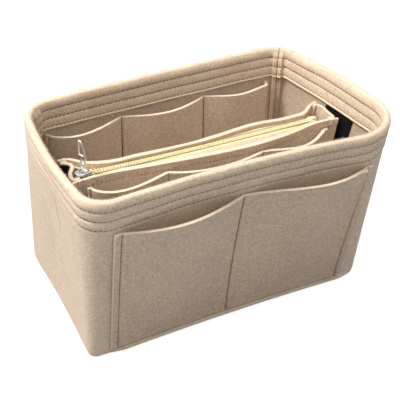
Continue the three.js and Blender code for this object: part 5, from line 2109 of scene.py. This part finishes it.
class Studio:
    """Floor, lamps, world and camera."""

    LAMPS = (
        Lamp("key_lamp", -106, 56, 1.6, 0.45, 25, (1.0, 0.98, 0.945)),
        Lamp("top_lamp", -12, 70, 1.7, 2.0, 18.5, (1.0, 0.985, 0.96)),
    )
    WORLD = (0.95, 0.97, 1.0)
    WORLD_STRENGTH = 0.36
    FLOOR_SEEN = (0.34, 0.34, 0.34)
    FLOOR_BOUNCE = (0.36, 0.37, 0.4)
    FLOOR_GLOW = 0.84

    def __init__(self, plan: Plan, sizes: StudioSizes) -> None:
        """Keeps the plan and sizes."""
        self.plan, self.sizes = plan, sizes

    def build(self) -> None:
        """Builds the studio round the object."""
        self.camera()
        self.floor()
        self.world()
        for lamp in self.LAMPS:
            self.lamp(lamp)
        bpy.context.scene.view_settings.view_transform = "Standard"

    def camera(self) -> None:
        """The camera at the photograph's viewing angle."""
        s = self.sizes
        back = direction(s.azimuth, s.elevation)
        x = unit(np.cross((0, 0, 1), back))
        y = np.cross(back, x)
        roll = math.radians(s.roll)
        across, up = math.cos(roll) * x + math.sin(roll) * y, math.cos(roll) * y - math.sin(roll) * x
        place = self.plan.to_part(np.array(s.target) + back * s.distance)
        data = bpy.data.cameras.new("camera")
        data.sensor_width = s.sensor
        data.lens = s.focal_pixels / s.frame_pixels * s.sensor
        data.shift_x = 0.5 - s.centre_pixels[0] / s.frame_pixels
        data.shift_y = s.centre_pixels[1] / s.frame_pixels - 0.5
        data.clip_start, data.clip_end = 0.01, 20
        camera = put_in_scene("camera", data)
        camera.matrix_world = Matrix(np.vstack([np.stack([across, up, back, place], axis=1), [0, 0, 0, 1]]))
        bpy.context.scene.camera = camera

    def floor(self) -> None:
        """A plain white floor that keeps the object's shadow."""
        clear_selection()
        bpy.ops.mesh.primitive_plane_add(size=self.sizes.floor * MM, location=(0, 0, -0.0004))
        floor = bpy.context.object
        floor.name = "floor"
        bpy.ops.object.transform_apply(location=True, rotation=True, scale=True)
        material = bpy.data.materials.new("floor_paper")
        material.use_nodes = True
        nodes = Nodes(material.node_tree)
        shader = nodes.tree.nodes["Principled BSDF"]
        nodes.fill(shader, Base_Color=rgba(self.FLOOR_BOUNCE), Roughness=0.9)
        seen = nodes.add("BsdfDiffuse", Color=rgba(self.FLOOR_SEEN))
        glow = nodes.add("Emission", Color=(1, 1, 1, 1), Strength=self.FLOOR_GLOW)
        both = nodes.each("AddShader", seen.outputs[0], glow.outputs[0])
        path = nodes.add("LightPath").outputs
        plain = nodes.maths("MAXIMUM", path["Is Camera Ray"], path["Is Glossy Ray"])
        nodes.shaders(nodes.tree.nodes["Material Output"], plain, shader, both)
        floor.data.materials.append(material)

    def world(self) -> None:
        """An even pale surrounding, white to the camera and to the metal."""
        world = bpy.data.worlds.new("studio")
        bpy.context.scene.world = world
        world.use_nodes = True
        nodes = Nodes(world.node_tree)
        plain = nodes.tree.nodes["Background"]
        nodes.fill(plain, Color=rgba(self.WORLD), Strength=self.WORLD_STRENGTH)
        bright = nodes.add("Background", Color=(1, 1, 1, 1), Strength=1.0)
        path = nodes.add("LightPath").outputs
        seen = nodes.maths("MAXIMUM", path["Is Camera Ray"], path["Is Glossy Ray"])
        seen = nodes.maths("MAXIMUM", seen, path["Is Transmission Ray"])
        nodes.shaders(nodes.tree.nodes["World Output"], seen, plain, bright)

    def lamp(self, lamp: Lamp) -> None:
        """Adds one soft lamp that faces the object."""
        data = bpy.data.lights.new(lamp.name, "AREA")
        data.energy, data.size, data.color = lamp.power, lamp.size, lamp.colour
        towards = Vector(direction(lamp.azimuth, lamp.elevation))
        light = put_in_scene(lamp.name, data)
        light.location = towards * lamp.distance
        light.rotation_euler = towards.to_track_quat("Z", "Y").to_euler()


def plan_of_part(sizes: ZipSizes) -> Plan:
    """Finds where the plan lies in the part's frame, from the arch on the slider."""
    low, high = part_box("slider_bridge")
    middle = (low + high) / 2 / MM
    return Plan((middle.x - sizes.slider_x, middle.y - sizes.y))


def main() -> None:
    """Builds the studio and every piece of the organizer, in order."""
    logging.basicConfig(level=logging.INFO, format="%(name)s: %(message)s")
    zip_sizes = ZipSizes()
    plan = plan_of_part(zip_sizes)
    Studio(plan, StudioSizes()).build()
    sewing = Sewing(Maker(plan), Wardrobe())
    Tub(sewing, TubSizes()).build()
    pouch = Pouch(sewing, PouchSizes())
    pouch.build()
    Zip(sewing, zip_sizes, pouch).build()


if __name__ == "__main__":
    main()
